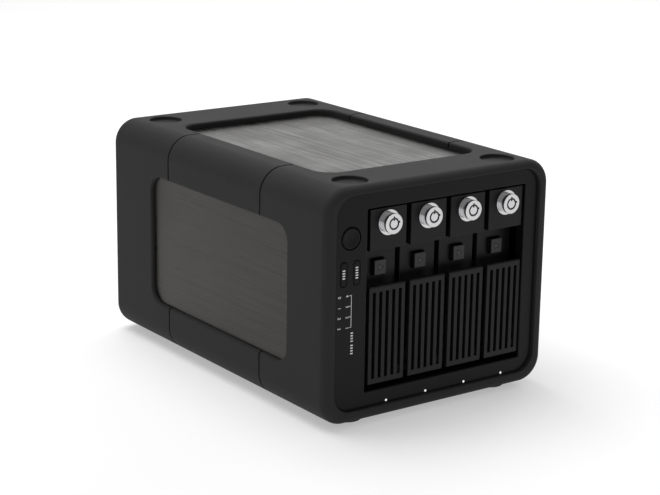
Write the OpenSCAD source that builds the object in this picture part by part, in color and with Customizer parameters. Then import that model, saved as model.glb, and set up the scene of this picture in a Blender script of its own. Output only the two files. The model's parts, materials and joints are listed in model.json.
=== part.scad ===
// Four-bay network storage enclosure with soft bumpers, brushed panels and lockable drive trays.
// Inside every module x runs across the body from its centre, y runs back from the front lip
// and z runs up from the underside of the body. place() moves that into the part's own frame.

/* [Body] */
// Width across the bumpers
body_w = 175; // [170:1:215]
// Depth from the front lip to the back of the rear bumper
body_d = 256; // [250:1:310]
// Height of the body without its feet
body_h = 148; // [146:1:180]
// Radius of the four long edges
edge_r = 16.5; // [15:0.5:19]
// Fillet round the front lip
lip_r = 5.5; // [3:0.5:6]
// Fillet round the back
rear_r = 7.5; // [4:0.5:8]
// Depth of the side panels below the bumper skin
side_step = 2.8; // [2:0.2:4]
// Depth of the top and bottom panels below the bumper skin
top_step = 4.2; // [3:0.2:5]

/* [Bumpers] */
// Place of the seam behind the front bumper
front_seam = 70.5; // [60:0.5:80]
// Length of the rear bumper, from its seam to the back
rear_len = 76; // [65:1:85]
// Width of a seam
seam_gap = 0.9; // [0.4:0.1:1.5]
// Thickness of the front and rear lips
lip_t = 7; // [6:0.5:8]
// Width of the lips at the sides
lip_side = 7.8; // [6:0.2:9]
// Width of the lips at the top
lip_top = 5.1; // [4.5:0.2:6]
// Width of the lips at the bottom
lip_bottom = 7.8; // [7:0.2:9]
// Corner radius of the lip openings
lip_open_r = 13; // [10:0.5:15]
// Clearance between bumpers and what they cover
skin_fit = 0.3; // [0.2:0.05:0.5]

/* [Windows and panels] */
// Front edge of the side windows
side_win_front = 41.3; // [36:0.5:45]
// Distance from the side windows to the back
side_win_rear = 53.3; // [48:0.5:58]
// Bottom edge of the side windows
side_win_low = 30.3; // [26:0.5:34]
// Distance from the side windows to the top
side_win_top = 29.8; // [26:0.5:34]
// Width of the top and bottom windows
top_win_w = 122.2; // [110:1:128]
// Front edge of the top and bottom windows
top_win_front = 38.6; // [36:0.5:42]
// Distance from the top windows to the back
top_win_rear = 45.9; // [42:0.5:50]
// Corner radius of the side windows
side_win_r = 11; // [6:0.5:14]
// Corner radius of the top windows
top_win_r = 13; // [6:0.5:16]
// Thickness of the aluminium panels
panel_t = 1.5; // [1:0.25:2]
// How far a panel reaches under the bumpers
panel_lap = 6; // [4:0.5:7]

/* [Chassis] */
// Sheet thickness
sheet_t = 1.2; // [0.8:0.1:1.6]
// Outer corner radius of the chassis
chassis_r = 12.5; // [11:0.5:14]
// Height of the split between chassis floor and cover
split_z = 30; // [24:1:40]
// Height of the feet
foot_h = 3; // [2:0.5:5]
// Diameter of the feet
foot_d = 20; // [16:1:22]
// Diameter of the stacking recesses
dimple_d = 22; // [20:1:26]
// Depth of the stacking recesses
dimple_depth = 2.5; // [1:0.5:3]
// Distance between recesses across the body
dimple_pitch_x = 115.6; // [110:0.2:120]
// Place of the front recesses
dimple_front = 18.1; // [17:0.5:22]
// Distance from the rear recesses to the back
dimple_rear = 23.2; // [22:0.2:26]

/* [Bezel] */
// Place of the bezel face behind the lip
bezel_y = 2.5; // [1.5:0.5:3.5]
// Wall thickness of the bezel
bezel_t = 2.5; // [2:0.25:3]
// Thickness of the bezel flange behind the lip
flange_t = 2.5; // [2:0.25:3.5]
// Groove between bezel and lip
bezel_gap = 0.4; // [0.2:0.05:0.8]
// Gap left of the first tray
bay_gap_left = 3; // [1:0.1:3.5]
// Gap right of the last tray
bay_gap_right = 0.8; // [0.6:0.1:2]
// Gap above the trays
bay_gap_top = 1; // [0.6:0.1:2]
// Gap below the trays
bay_gap_bottom = 3.2; // [3:0.1:4]

/* [Buttons and lights] */
// Distance from the power button's axis to the bay opening
power_inset = 12.2; // [11:0.2:13]
// Height of the power button
power_z = 116.4; // [110:0.2:122]
// Diameter of the power button
power_d = 14; // [10:0.5:15]
// Distance from the bay opening to the mode button
mode_inset = 7.7; // [6:0.1:9]
// Distance between the fan and mode buttons
pill_pitch = 9.6; // [9:0.2:11]
// Height of the middle of the fan and mode buttons
pill_z = 94.8; // [90:0.2:100]
// Width of the fan and mode buttons
pill_w = 4.8; // [4:0.2:6]
// Height of the fan and mode buttons
pill_h = 15.4; // [12:0.2:18]
// Clearance round a button
button_fit = 0.25; // [0.15:0.05:0.4]
// Height of the status lights
light_z = 9.3; // [9.2:0.1:10]
// Diameter of a status light
light_d = 1.5; // [1:0.1:1.8]

/* [Trays] */
// Distance between trays
tray_pitch = 31; // [30.5:0.1:33]
// Width of a tray front
tray_w = 27.5; // [27:0.1:28.5]
// Height of a tray front
tray_h = 110.9; // [110.5:0.1:113]
// Underside of the tray fronts
tray_z = 20.7; // [20.4:0.1:23]
// Offset of the tray group from the middle of the body
bay_x = 8; // [6:0.1:10]
// Place of the lock panel's face
tray_y = 4; // [3:0.5:5]
// Height of the lock panel
lock_panel_h = 26.1; // [24:0.1:28]
// Height of the finger recess
recess_h = 22.1; // [20:0.1:24]
// Place of the recess wall
recess_y = 14.5; // [13:0.5:16]
// Thickness of the tray front's rear wall
tray_wall = 2.5; // [2:0.25:3]
// Width of a drive, across its short sides
drive_w = 101.6; // [101.6:0.1:102]
// Length of a drive
drive_len = 147; // [146:0.5:148]
// Clearance round a drive
drive_fit = 0.3; // [0.2:0.05:0.4]
// Thickness of the carrier rails
rail_t = 3; // [2:0.25:3.5]
// Width of the carrier rails
rail_w = 26.6; // [26:0.1:27]
// Radius of the drive screw holes
drive_hole_r = 1.8; // [1.6:0.1:2]
// Distance between the drive screw holes
drive_hole_pitch = 101.6; // [101.6:0.1:101.6]
// Distance from the drive's connector end to its first screw hole
drive_hole_end = 28.5; // [27:0.1:30]

/* [Tray handles] */
// Place of the handle face
handle_y = 3.5; // [3:0.5:5]
// Thickness of the handle plate
handle_t = 3; // [2.5:0.25:3.5]
// Number of slots in a handle
slot_count = 5; // [3:1:6]
// Width of a slot
slot_w = 2.2; // [1.5:0.1:2.6]
// Frame left above and below the slots
slot_margin = 4; // [3:0.5:6]
// Height of the handle hinge above the handle's underside
hinge_rise = 5.8; // [5.5:0.1:7]
// Radius of the hinge nose
hinge_nose_r = 3.2; // [2.8:0.1:3.3]
// Radius of the hinge pins
hinge_pin_r = 1.5; // [1.2:0.1:1.8]
// Running clearance of pins and shafts
run_fit = 0.06; // [0.03:0.01:0.1]
// Thickness of a hinge ear or lug
ear_t = 2; // [1.6:0.1:2.4]

/* [Eject buttons] */
// Width of an eject button
eject_w = 8.7; // [7:0.1:10]
// Height of an eject button
eject_h = 9.4; // [8:0.1:10]
// Height of the button's middle above the recess floor
eject_rise = 8.9; // [8:0.1:10]
// How far a button stands out of the recess wall
eject_proud = 3.3; // [2:0.1:4]
// Clearance round an eject button
eject_fit = 0.5; // [0.3:0.1:0.8]

/* [Locks] */
// Distance from the lock's axis to the top of the tray
lock_drop = 9.3; // [9:0.1:11]
// Distance from the lock's face to the lock panel
lock_len = 5.5; // [4.5:0.5:6]
// Diameter of the lock's face
lock_face_d = 12.8; // [11:0.1:14]
// Diameter of the lock's neck and barrel
lock_neck_d = 12; // [10:0.1:12.4]
// Diameter of the base ring
lock_ring_d = 16; // [14:0.1:16.5]
// Outer diameter of the key groove
key_d = 7.4; // [6.5:0.1:8]
// Diameter of the centre post
post_d = 5.4; // [4:0.1:5.6]

/* [Rear] */
// Size of the fan
fan_size = 80; // [70:5:80]
// Thickness of the fan
fan_t = 25; // [20:1:28]
// Offset of the fan's axis from the middle of the body
fan_x = -26; // [-30:1:-20]
// Height of the fan's axis
fan_z = 93; // [92:1:96]
// Width of the power supply
supply_w = 104; // [90:1:106]
// Height of the power supply
supply_h = 40; // [36:1:42]

/* [Hidden] */
$fn = 48;
eps = 0.01;
over = 1;
touch_gap = 0.3;

// Body and skin
half_w = body_w / 2;
lock_front = tray_y - lock_len;
rear_seam = body_d - rear_len;
panel_x = half_w - side_step;
panel_top = body_h - top_step;
chassis_x = panel_x - panel_t;
chassis_low = top_step + panel_t;
chassis_high = panel_top - panel_t;
inner_x = chassis_x - sheet_t;
inner_low = chassis_low + sheet_t;
inner_high = chassis_high - sheet_t;
chassis_front = lip_t + flange_t;
rear_lip_y = body_d - lip_t - touch_gap;
rear_face = rear_lip_y - touch_gap;
chassis_rear = rear_face - sheet_t;
side_win_back = body_d - side_win_rear;
side_win_high = body_h - side_win_top;
top_win_back = body_d - top_win_rear;
dimple_back = body_d - dimple_rear;
tab_size = 9;
tab_t = 1.5;
screw_r = 1.5;
screw_head_r = 3;
screw_inset = 13;
screw_x = half_w - lip_side - screw_head_r - 2 * touch_gap;

// Trays and bays
tray_top = tray_z + tray_h;
bay_left = bay_x - 1.5 * tray_pitch - tray_w / 2 - bay_gap_left;
bay_right = bay_x + 1.5 * tray_pitch + tray_w / 2 + bay_gap_right;
bay_low = tray_z - bay_gap_bottom;
bay_high = tray_top + bay_gap_top;
recess_high = tray_top - lock_panel_h;
recess_low = recess_high - recess_h;
tray_back = recess_y + tray_wall;
tray_mid_z = tray_z + tray_h / 2;
drive_low = tray_mid_z - drive_w / 2 - drive_fit;
drive_high = tray_mid_z + drive_w / 2 + drive_fit;
plate_t = 1.5;
cam_gap = 0.4;
cam_t = 1.2;
drive_front = tray_back + plate_t + cam_gap + cam_t + 2 * touch_gap;
drive_back = drive_front + drive_len;
rail_back = drive_back - touch_gap;
handle_top = recess_low;
handle_back = handle_y + handle_t;
hinge_y = handle_back + hinge_nose_r + touch_gap;
hinge_z = tray_z + hinge_rise;
eject_z = recess_low + eject_rise;
lock_z = tray_top - lock_drop;

// Cage, boards and rear
cage_front = 24;
guide_t = 3;
guide_fin_h = 6;
fin_fit = 0.5;
cage_t = 1.5;
connector_t = 4;
backplane_y = drive_back + touch_gap + connector_t;
board_t = 1.6;
guide_low = drive_low - rail_t - touch_gap;
guide_high = drive_high + rail_t + touch_gap;
plate_left = bay_left - touch_gap;
plate_right = bay_right + touch_gap;
power_x = bay_left - power_inset;
mode_x = bay_left - mode_inset;
fan_button_x = mode_x - pill_pitch;
panel_board_y = chassis_front + 1.5;
board_x = inner_x - 12;
supply_front = backplane_y + board_t + 5;
supply_left = chassis_r - inner_x;
supply_right = supply_left + supply_w;
fan_front = chassis_rear - fan_t;
fan_bore_r = fan_size / 2 - 2;
fan_hole = fan_size / 2 - 4.25;
inlet_x = inner_x - 25;
inlet_z = inner_low + 17;
inlet_w = 24.4;
inlet_h = 17;
switch_x = inlet_x - 1;
switch_z = inlet_z + 25;
switch_w = 19;
switch_h = 13;
rocker_w = 16;
rocker_h = 10.4;
net_z = 112;
net_w = 16;
net_t = 13.4;
usb_z = 84;
usb_t = 3.6;
usb_w = 9.4;
usb_wall = 0.5;
board_low = net_z - 50;
board_high = net_z + 20;
board_rear = chassis_rear - 6;
board_hole_inset = 6;
post_r = 2.5;
cut_fit = 0.3;
inlet_wall = 1.5;
switch_fit = 0.1;

module place() translate([0, -(body_d + lock_front) / 2, foot_h]) children();

// Extrudes an x-z outline from y0 back to y1
module along_y(y0, y1) translate([0, y1, 0]) rotate([90, 0, 0]) linear_extrude(y1 - y0) children();

// Extrudes a y-z outline from x0 to x1
module along_x(x0, x1) translate([x0, 0, 0]) rotate([90, 0, 90]) linear_extrude(x1 - x0) children();

// Extrudes an x-y outline from z0 up to z1
module along_z(z0, z1) translate([0, 0, z0]) linear_extrude(z1 - z0) children();

// Box between two corners
module block(a, b) translate(a) cube(b - a);

// Outline with round corners between two points
module rounded(x0, y0, x1, y1, r) {
    translate([x0 + r, y0]) square([x1 - x0 - 2 * r, y1 - y0]);
    translate([x0, y0 + r]) square([x1 - x0, y1 - y0 - 2 * r]);
    for (x = [x0 + r, x1 - r])
        for (y = [y0 + r, y1 - r])
            translate([x, y]) circle(r);
}

module body_outline() rounded(-half_w, 0, half_w, body_h, edge_r);

module lip_outline(gap) rounded(-half_w + lip_side + gap, lip_bottom + gap,
    half_w - lip_side - gap, body_h - lip_top - gap, lip_open_r - gap);

// Chassis outline, grown by grow
module chassis_outline(grow) rounded(-chassis_x - grow, chassis_low - grow, chassis_x + grow,
    chassis_high + grow, chassis_r + grow);

module side_outline(grow) rounded(side_win_front - grow, side_win_low - grow,
    side_win_back + grow, side_win_high + grow, side_win_r + grow);

module top_outline(grow) rounded(-top_win_w / 2 - grow, top_win_front - grow,
    top_win_w / 2 + grow, top_win_back + grow, top_win_r + grow);

module mirrored_x() {
    children();
    mirror([1, 0, 0]) children();
}

// What every bumper and rail is cut by: windows, the panels' edges and the chassis
module skin_cuts() {
    mirrored_x() {
        along_x(chassis_x, half_w + over) side_outline(0);
        along_x(chassis_x - eps, panel_x) side_outline(panel_lap + skin_fit);
    }
    along_z(chassis_high, body_h + over) top_outline(0);
    along_z(-over, chassis_low) top_outline(0);
    along_z(chassis_high - eps, panel_top) top_outline(panel_lap + skin_fit);
    along_z(top_step, chassis_low + eps) top_outline(panel_lap + skin_fit);
    along_y(lip_t, rear_lip_y) chassis_outline(skin_fit);
}

// Outline from lo to hi, len long, whose two corners at its base are rounded by r
module end_profile(lo, hi, len, r) {
    translate([lo + r, 0]) square([hi - lo - 2 * r, len]);
    translate([lo, r]) square([hi - lo, len - r]);
    for (u = [lo + r, hi - r])
        translate([u, r]) circle(r);
}

// Front part of the body, len long, with the fillet r round its face
module rounded_end(len, r) {
    along_z(edge_r, body_h - edge_r) end_profile(-half_w, half_w, len, r);
    along_x(edge_r - half_w, half_w - edge_r) mirror([1, -1]) end_profile(0, body_h, len, r);
    for (x = [edge_r - half_w, half_w - edge_r])
        for (z = [edge_r, body_h - edge_r])
            translate([x, 0, z]) rotate([-90, 0, 0]) rotate_extrude() intersection() {
                end_profile(-edge_r, edge_r, len, r);
                square([edge_r, len]);
            }
}

module dimples(y) for (x = [-dimple_pitch_x / 2, dimple_pitch_x / 2])
    translate([x, y, body_h - dimple_depth]) cylinder(d = dimple_d, h = dimple_depth + over);

module front_bumper() color("#3a3a3b") place() difference() {
    rounded_end(front_seam - seam_gap / 2, lip_r);
    along_y(-over, lip_t + eps) lip_outline(0);
    skin_cuts();
    dimples(dimple_front);
}

module rear_bumper() color("#3a3a3b") place() difference() {
    translate([0, body_d, 0]) mirror([0, 1, 0]) rounded_end(rear_len - seam_gap / 2, rear_r);
    along_y(rear_lip_y - eps, body_d + over) lip_outline(0);
    skin_cuts();
    dimples(dimple_back);
}

// One corner rail between the bumpers: side is -1 or 1 for left or right, up is 0 or 1
module edge_rail(side, up) color("#3a3a3b") place() difference() {
    intersection() {
        along_y(front_seam + seam_gap / 2, rear_seam - seam_gap / 2) body_outline();
        translate([side > 0 ? 0 : -body_w, 0, up * body_h / 2]) cube([body_w, body_d, body_h / 2]);
    }
    skin_cuts();
}

module side_panel(side) color("#4a4a4c") place()
    along_x(side > 0 ? chassis_x : -panel_x, side > 0 ? panel_x : -chassis_x)
        side_outline(panel_lap);

module flat_panel(z) color("#77726c") place() along_z(z, z + panel_t) top_outline(panel_lap);

// Sheet-metal shell between two heights, with its screw tabs at the back
module chassis_part(low, high, tab_z) {
    intersection() {
        along_y(chassis_front, chassis_rear) difference() {
            chassis_outline(0);
            chassis_outline(-sheet_t);
        }
        block([-body_w, 0, low], [body_w, body_d, high]);
    }
    mirrored_x() difference() {
        block([screw_x - tab_size / 2, chassis_rear - tab_t, tab_z - tab_size / 2],
            [inner_x + eps, chassis_rear, tab_z + tab_size / 2]);
        translate([screw_x, chassis_rear + over, tab_z]) rotate([90, 0, 0])
            cylinder(r = screw_r + run_fit, h = tab_t + 2 * over);
    }
}

low_tab_z = inner_low + screw_inset;
high_tab_z = inner_high - screw_inset;

module chassis_floor() color("#6b6e70") place() chassis_part(0, split_z, low_tab_z);

// Posts on the right wall that carry the controller board
module board_posts() for (y = [supply_front + board_hole_inset, board_rear - board_hole_inset])
    for (z = [board_low + board_hole_inset, board_high - board_hole_inset])
        translate([board_x + board_t, y, z]) rotate([0, 90, 0])
            cylinder(r = post_r, h = inner_x - board_x - board_t + eps);

module chassis_cover() color("#6b6e70") place() {
    chassis_part(split_z, body_h, high_tab_z);
    board_posts();
}

module feet() color("#1b1b1c") place() for (x = [-dimple_pitch_x / 2, dimple_pitch_x / 2])
    for (y = [dimple_front, dimple_back])
        translate([x, y, -foot_h]) cylinder(d = foot_d, h = foot_h);

// Upright slot shape of the fan and mode buttons, grown by grow
module pill_outline(grow) {
    r = pill_w / 2 + grow;
    half_h = pill_h / 2 + grow;
    translate([-r, -half_h + r]) square([2 * r, 2 * (half_h - r)]);
    for (z = [-half_h + r, half_h - r])
        translate([0, z]) circle(r);
}

light_fit = 0.1;
light_xs = [for (i = [0:3]) tray_x(i)];
function tray_x(i) = bay_x + (i - 1.5) * tray_pitch;
bezel_back = bezel_y + bezel_t;
panel_post_inset = 5;
post_x = [-half_w + lip_side + panel_post_inset, bay_left - panel_post_inset];
post_z = [recess_low - 32, power_z + 14];
pocket_wall = 2.4;

module front_bezel() color("#262627") place() {
    difference() {
        union() {
            along_y(bezel_y, lip_t + eps) lip_outline(bezel_gap);
            along_y(lip_t, chassis_front) chassis_outline(0);
        }
        block([bay_left, 0, bay_low], [bay_right, chassis_front + over, bay_high]);
        block([-half_w + lip_side + pocket_wall, bezel_back, post_z[0] - 6],
            [bay_left - pocket_wall, chassis_front + over, post_z[1] + 5]);
        translate([power_x, bezel_back + over, power_z]) rotate([90, 0, 0])
            cylinder(d = power_d + 2 * button_fit, h = bezel_t + 2 * over);
        for (x = [mode_x, fan_button_x])
            along_y(bezel_y - over, bezel_back + over) translate([x, pill_z])
                pill_outline(button_fit);
        for (x = light_xs)
            translate([x, chassis_front + over, light_z]) rotate([90, 0, 0])
                cylinder(d = light_d + 2 * light_fit, h = chassis_front + over);
    }
    for (x = post_x)
        for (z = post_z)
            translate([x, panel_board_y, z]) rotate([90, 0, 0])
                cylinder(r = post_r, h = panel_board_y - bezel_back + eps);
}

cap_proud = 0.2;
cap_flange_t = 1;
cap_flange = 1.1;
stem_r = 1.2;
button_travel = 0.8;
switch_face = panel_board_y - 1.8;
stem_end = switch_face - button_travel - touch_gap;

// Shared back of the three front buttons: a flange behind the bezel and a stem to the switch
module stem() translate([0, stem_end, 0]) rotate([90, 0, 0])
    cylinder(r = stem_r, h = stem_end - bezel_back);

module power_button() color("#2b2b2c") place() translate([power_x, 0, power_z]) {
    translate([0, bezel_back + touch_gap + eps, 0]) rotate([90, 0, 0])
        cylinder(d = power_d, h = bezel_back + touch_gap - bezel_y + cap_proud);
    translate([0, bezel_back + touch_gap + cap_flange_t, 0]) rotate([90, 0, 0])
        cylinder(d = power_d + 2 * cap_flange, h = cap_flange_t);
    stem();
}

module pill_button(x) color("#2b2b2c") place() translate([x, 0, pill_z]) {
    along_y(bezel_y - cap_proud, bezel_back + touch_gap + eps) pill_outline(0);
    along_y(bezel_back + touch_gap, bezel_back + touch_gap + cap_flange_t) pill_outline(cap_flange);
    stem();
}

module tact_switch(x, z) {
    block([x - 3, switch_face + 0.8, z - 3], [x + 3, panel_board_y + eps, z + 3]);
    translate([x, switch_face + 0.8 + eps, z]) rotate([90, 0, 0]) cylinder(r = 1.6, h = 0.8);
}

module front_panel_board() color("#1f5a3c") place() {
    block([-half_w + lip_side + 2.6, panel_board_y, post_z[0] - 4],
        [bay_left - 1.5, panel_board_y + board_t, post_z[1] + 4]);
    tact_switch(power_x, power_z);
    tact_switch(mode_x, pill_z);
    tact_switch(fan_button_x, pill_z);
}

light_board = chassis_front + 0.3;

module status_lights() color("#f4f4f0") place() {
    for (x = light_xs)
        translate([x, light_board + eps, light_z]) rotate([90, 0, 0])
            cylinder(d = light_d, h = light_board - bezel_y + 0.1);
    block([light_xs[0] - 4, light_board, inner_low + touch_gap],
        [light_xs[3] + 4, light_board + board_t, inner_low + 6]);
}

// Guide plate across the bays, with fins between the carriers that reach up or down
module guide_plate(z, fin_z) {
    block([plate_left - eps, cage_front, z], [plate_right + eps, drive_back, z + guide_t]);
    fin_low = min(z + eps, fin_z);
    for (i = [0:2])
        block([tray_x(i) + rail_w / 2 + fin_fit, cage_front, fin_low],
            [tray_x(i + 1) - rail_w / 2 - fin_fit, drive_back, fin_low + guide_fin_h + guide_t]);
}

module drive_cage() color("#8b8d8f") place() {
    block([plate_left - cage_t, cage_front, inner_low + touch_gap],
        [plate_left, backplane_y, inner_high - touch_gap]);
    block([plate_right, cage_front, inner_low + touch_gap],
        [plate_right + cage_t, backplane_y, inner_high - touch_gap]);
    guide_plate(guide_low - guide_t, guide_low - guide_t);
    guide_plate(guide_high, guide_high - guide_fin_h);
}

connector_low = drive_low + 5;
connector_len = 42;
connector_w = 7;

module backplane_board() color("#1f5a3c") place() difference() {
    block([plate_left - cage_t, backplane_y, guide_low - guide_t],
        [plate_right + cage_t, backplane_y + board_t, guide_high + guide_t]);
    for (i = [0:3])
        along_y(backplane_y - over, backplane_y + board_t + over)
            rounded(tray_x(i) - 2, connector_low - 1, tray_x(i) + 11, drive_high - 5, 3);
}

module drive_connectors() color("#151516") place() for (i = [0:3])
    difference() {
        block([tray_x(i) - 10.5, backplane_y - connector_t, connector_low],
            [tray_x(i) - 10.5 + connector_w, backplane_y, connector_low + connector_len]);
        block([tray_x(i) - 9, backplane_y - connector_t - over, connector_low + 2],
            [tray_x(i) - 9 + connector_w - 3, backplane_y - 1.5, connector_low + connector_len - 2]);
    }

module controller_board() color("#1f5a3c") place()
    block([board_x, supply_front, board_low], [board_x + board_t, board_rear, board_high]);

sink_size = 28;
sink_base = 3;
sink_rise = 10;
sink_y = supply_front + 8;
sink_z = net_z - 24;
sink_fins = 6;
fin_t = 1.2;
fin_pitch = (sink_size - fin_t) / (sink_fins - 1);

module heat_sink() color("#b9bcbf") place() {
    block([board_x - sink_base, sink_y, sink_z],
        [board_x, sink_y + sink_size, sink_z + sink_size]);
    for (k = [0:sink_fins - 1])
        block([board_x - sink_rise, sink_y, sink_z + k * fin_pitch],
            [board_x - sink_base + eps, sink_y + sink_size, sink_z + k * fin_pitch + fin_t]);
}

supply_slots = 6;
supply_slot_pitch = 14;
supply_slot_w = 6;

module power_supply() color("#9a9c9e") place() difference() {
    block([supply_left, supply_front, inner_low],
        [supply_right, chassis_rear - touch_gap, inner_low + supply_h]);
    for (k = [0:supply_slots - 1])
        block([supply_left + (k + 1) * supply_slot_pitch, supply_front - over, inner_low + 10],
            [supply_left + (k + 1) * supply_slot_pitch + supply_slot_w, supply_front + 2,
                inner_low + supply_h - 10]);
}

vent_pitch = 7;
vent_r = 2.2;

module rear_panel() color("#5d6062") place() difference() {
    along_y(chassis_rear, rear_face) chassis_outline(0);
    translate([fan_x, body_d, fan_z]) rotate([90, 0, 0]) cylinder(r = fan_bore_r, h = body_d);
    for (x = [-1, 1])
        for (z = [-1, 1])
            translate([fan_x + x * fan_hole, body_d, fan_z + z * fan_hole]) rotate([90, 0, 0])
                cylinder(r = screw_r + run_fit, h = body_d);
    for (x = [-1, 1])
        for (z = [low_tab_z, high_tab_z])
            translate([x * screw_x, body_d, z]) rotate([90, 0, 0])
                cylinder(r = screw_r + run_fit, h = body_d);
    inlet_cut = inlet_wall + 0.1;
    block([inlet_x - inlet_w / 2 - inlet_cut, 0, inlet_z - inlet_h / 2 - inlet_cut],
        [inlet_x + inlet_w / 2 + inlet_cut, body_d, inlet_z + inlet_h / 2 + inlet_cut]);
    block([switch_x - switch_w / 2 - switch_fit, 0, switch_z - switch_h / 2 - switch_fit],
        [switch_x + switch_w / 2 + switch_fit, body_d, switch_z + switch_h / 2 + switch_fit]);
    block([board_x - net_t - cut_fit, 0, net_z - net_w / 2 - cut_fit],
        [board_x + cut_fit, body_d, net_z + net_w / 2 + cut_fit]);
    block([board_x - usb_t - 2 * cut_fit, 0, usb_z - usb_w / 2 - 2 * cut_fit],
        [board_x + cut_fit, body_d, usb_z + usb_w / 2 + 2 * cut_fit]);
    for (k = [0:12])
        for (m = [0:2])
            translate([supply_left + 8 + k * vent_pitch, body_d, inner_low + 13 + m * vent_pitch])
                rotate([90, 0, 0]) cylinder(r = vent_r, h = body_d);
}

// Pan-head screw, its head's seat at the origin and its shank pointing to the front
module screw(len) {
    rotate([90, 0, 0]) cylinder(r = screw_r, h = len);
    difference() {
        translate([0, -eps, 0]) rotate([-90, 0, 0]) cylinder(r = screw_head_r, h = 2);
        for (a = [0, 90])
            rotate([0, a, 0]) block([-1.8, 1, -0.4], [1.8, 2 + over, 0.4]);
    }
}

guard_wire = 0.9;
spoke_wire = 1.1;
guard_first = 9;
guard_pitch = 8;
guard_eye_r = 3.4;
case_screw_len = 5;
fan_screw_len = 12;

module rear_screws() color("#2a2b2d") place() {
    for (x = [-1, 1])
        for (z = [low_tab_z, high_tab_z])
            translate([x * screw_x, rear_face + eps, z]) screw(case_screw_len);
    for (x = [-1, 1])
        for (z = [-1, 1])
            translate([fan_x + x * fan_hole, rear_face + 2 * spoke_wire + eps, fan_z + z * fan_hole])
                screw(fan_screw_len);
}

hub_r = 19;
axle_r = 2;
bearing_r = 6;
strut_t = 3;

module fan_frame() color("#1c1c1d") place() translate([fan_x, 0, fan_z]) {
    along_y(fan_front, chassis_rear) difference() {
        rounded(-fan_size / 2, -fan_size / 2, fan_size / 2, fan_size / 2, 4);
        circle(fan_bore_r, $fn = 96);
        for (x = [-fan_hole, fan_hole])
            for (z = [-fan_hole, fan_hole])
                translate([x, z]) circle(2.2);
    }
    difference() {
        union() {
            translate([0, fan_front + strut_t, 0]) rotate([90, 0, 0]) cylinder(r = hub_r, h = strut_t);
            for (a = [0:90:270])
                rotate([0, a + 45, 0])
                    block([hub_r - 1, fan_front, -2], [fan_bore_r + 0.5, fan_front + strut_t, 2]);
            translate([0, fan_front + 14, 0]) rotate([90, 0, 0]) cylinder(r = bearing_r, h = 12);
        }
        translate([0, fan_front + 15, 0]) rotate([90, 0, 0])
            cylinder(r = axle_r + run_fit, h = 16 + over);
    }
}

blade_count = 7;
blade_tip = fan_bore_r - 1;
blade_turn = 38;
blade_t = 1.4;

module fan_rotor() color("#242425") place() translate([fan_x, fan_front, fan_z]) {
    difference() {
        translate([0, fan_t - 1.5, 0]) rotate([90, 0, 0]) cylinder(r = hub_r, h = fan_t - 5.5);
        translate([0, fan_t - 4, 0]) rotate([90, 0, 0]) cylinder(r = hub_r - 2, h = fan_t);
    }
    translate([0, fan_t - 3.9, 0]) rotate([90, 0, 0]) cylinder(r = axle_r, h = fan_t - 6);
    for (k = [0:blade_count - 1])
        rotate([0, k * 360 / blade_count, 0]) intersection() {
            translate([(hub_r + blade_tip) / 2, fan_t / 2 + 1.3, 0]) rotate([blade_turn, 0, 0])
                cube([blade_tip - hub_r + 8, blade_t, 26], center = true);
            translate([0, fan_t - 2, 0]) rotate([90, 0, 0]) difference() {
                cylinder(r = blade_tip, h = fan_t - 7);
                translate([0, 0, -over]) cylinder(r = hub_r - 1, h = fan_t);
            }
        }
}

module ring(r) rotate([90, 0, 0]) rotate_extrude() translate([r, 0]) circle(guard_wire, $fn = 16);

module fan_guard() color("#c4c6c8") place() translate([fan_x, rear_face + spoke_wire, fan_z]) {
    for (r = [guard_first:guard_pitch:fan_bore_r - 1])
        ring(r);
    for (a = [45:90:315])
        rotate([0, a, 0]) translate([guard_first, 0, 0]) rotate([0, 90, 0])
            cylinder(r = spoke_wire, h = fan_hole * sqrt(2) - guard_first - 2.2, $fn = 16);
    for (x = [-fan_hole, fan_hole])
        for (z = [-fan_hole, fan_hole])
            translate([x, spoke_wire, z]) rotate([90, 0, 0]) difference() {
                cylinder(r = guard_eye_r, h = 2 * spoke_wire);
                translate([0, 0, -over]) cylinder(r = screw_r + 0.2, h = 4);
            }
}

inlet_depth = 16;

module power_inlet() color("#161617") place() translate([inlet_x, 0, inlet_z]) {
    difference() {
        union() {
            block([-inlet_w / 2 - inlet_wall, rear_face - inlet_depth - 4, -inlet_h / 2 - inlet_wall],
                [inlet_w / 2 + inlet_wall, rear_face + eps, inlet_h / 2 + inlet_wall]);
            along_y(rear_face, rear_face + 2.5)
                rounded(-inlet_w / 2 - 3.5, -inlet_h / 2 - 3, inlet_w / 2 + 3.5, inlet_h / 2 + 3, 2);
        }
        block([-inlet_w / 2, rear_face - inlet_depth, -inlet_h / 2],
            [inlet_w / 2, rear_face + 2.5 + over, inlet_h / 2]);
    }
    for (p = [[-7, -2], [0, 2], [7, -2]])
        block([p[0] - 1, rear_face - inlet_depth - eps, p[1] - 2],
            [p[0] + 1, rear_face - 1, p[1] + 2]);
}

module switch_frame() color("#161617") place() translate([switch_x, 0, switch_z]) difference() {
    union() {
        block([-switch_w / 2, rear_face - 12, -switch_h / 2],
            [switch_w / 2, rear_face + eps, switch_h / 2]);
        along_y(rear_face, rear_face + 2)
            rounded(-switch_w / 2 - 1.2, -switch_h / 2 - 1.2, switch_w / 2 + 1.2,
                switch_h / 2 + 1.2, 1);
    }
    block([-rocker_w / 2 - 0.3, rear_face - 7, -rocker_h / 2 - 0.4],
        [rocker_w / 2 + 0.3, rear_face + 2 + over, rocker_h / 2 + 0.4]);
    translate([-switch_w / 2 + 0.5, rear_face - 1, 0]) rotate([0, 90, 0])
        cylinder(r = 1 + run_fit, h = switch_w - 1);
}

rocker_tilt = 8;

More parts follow.
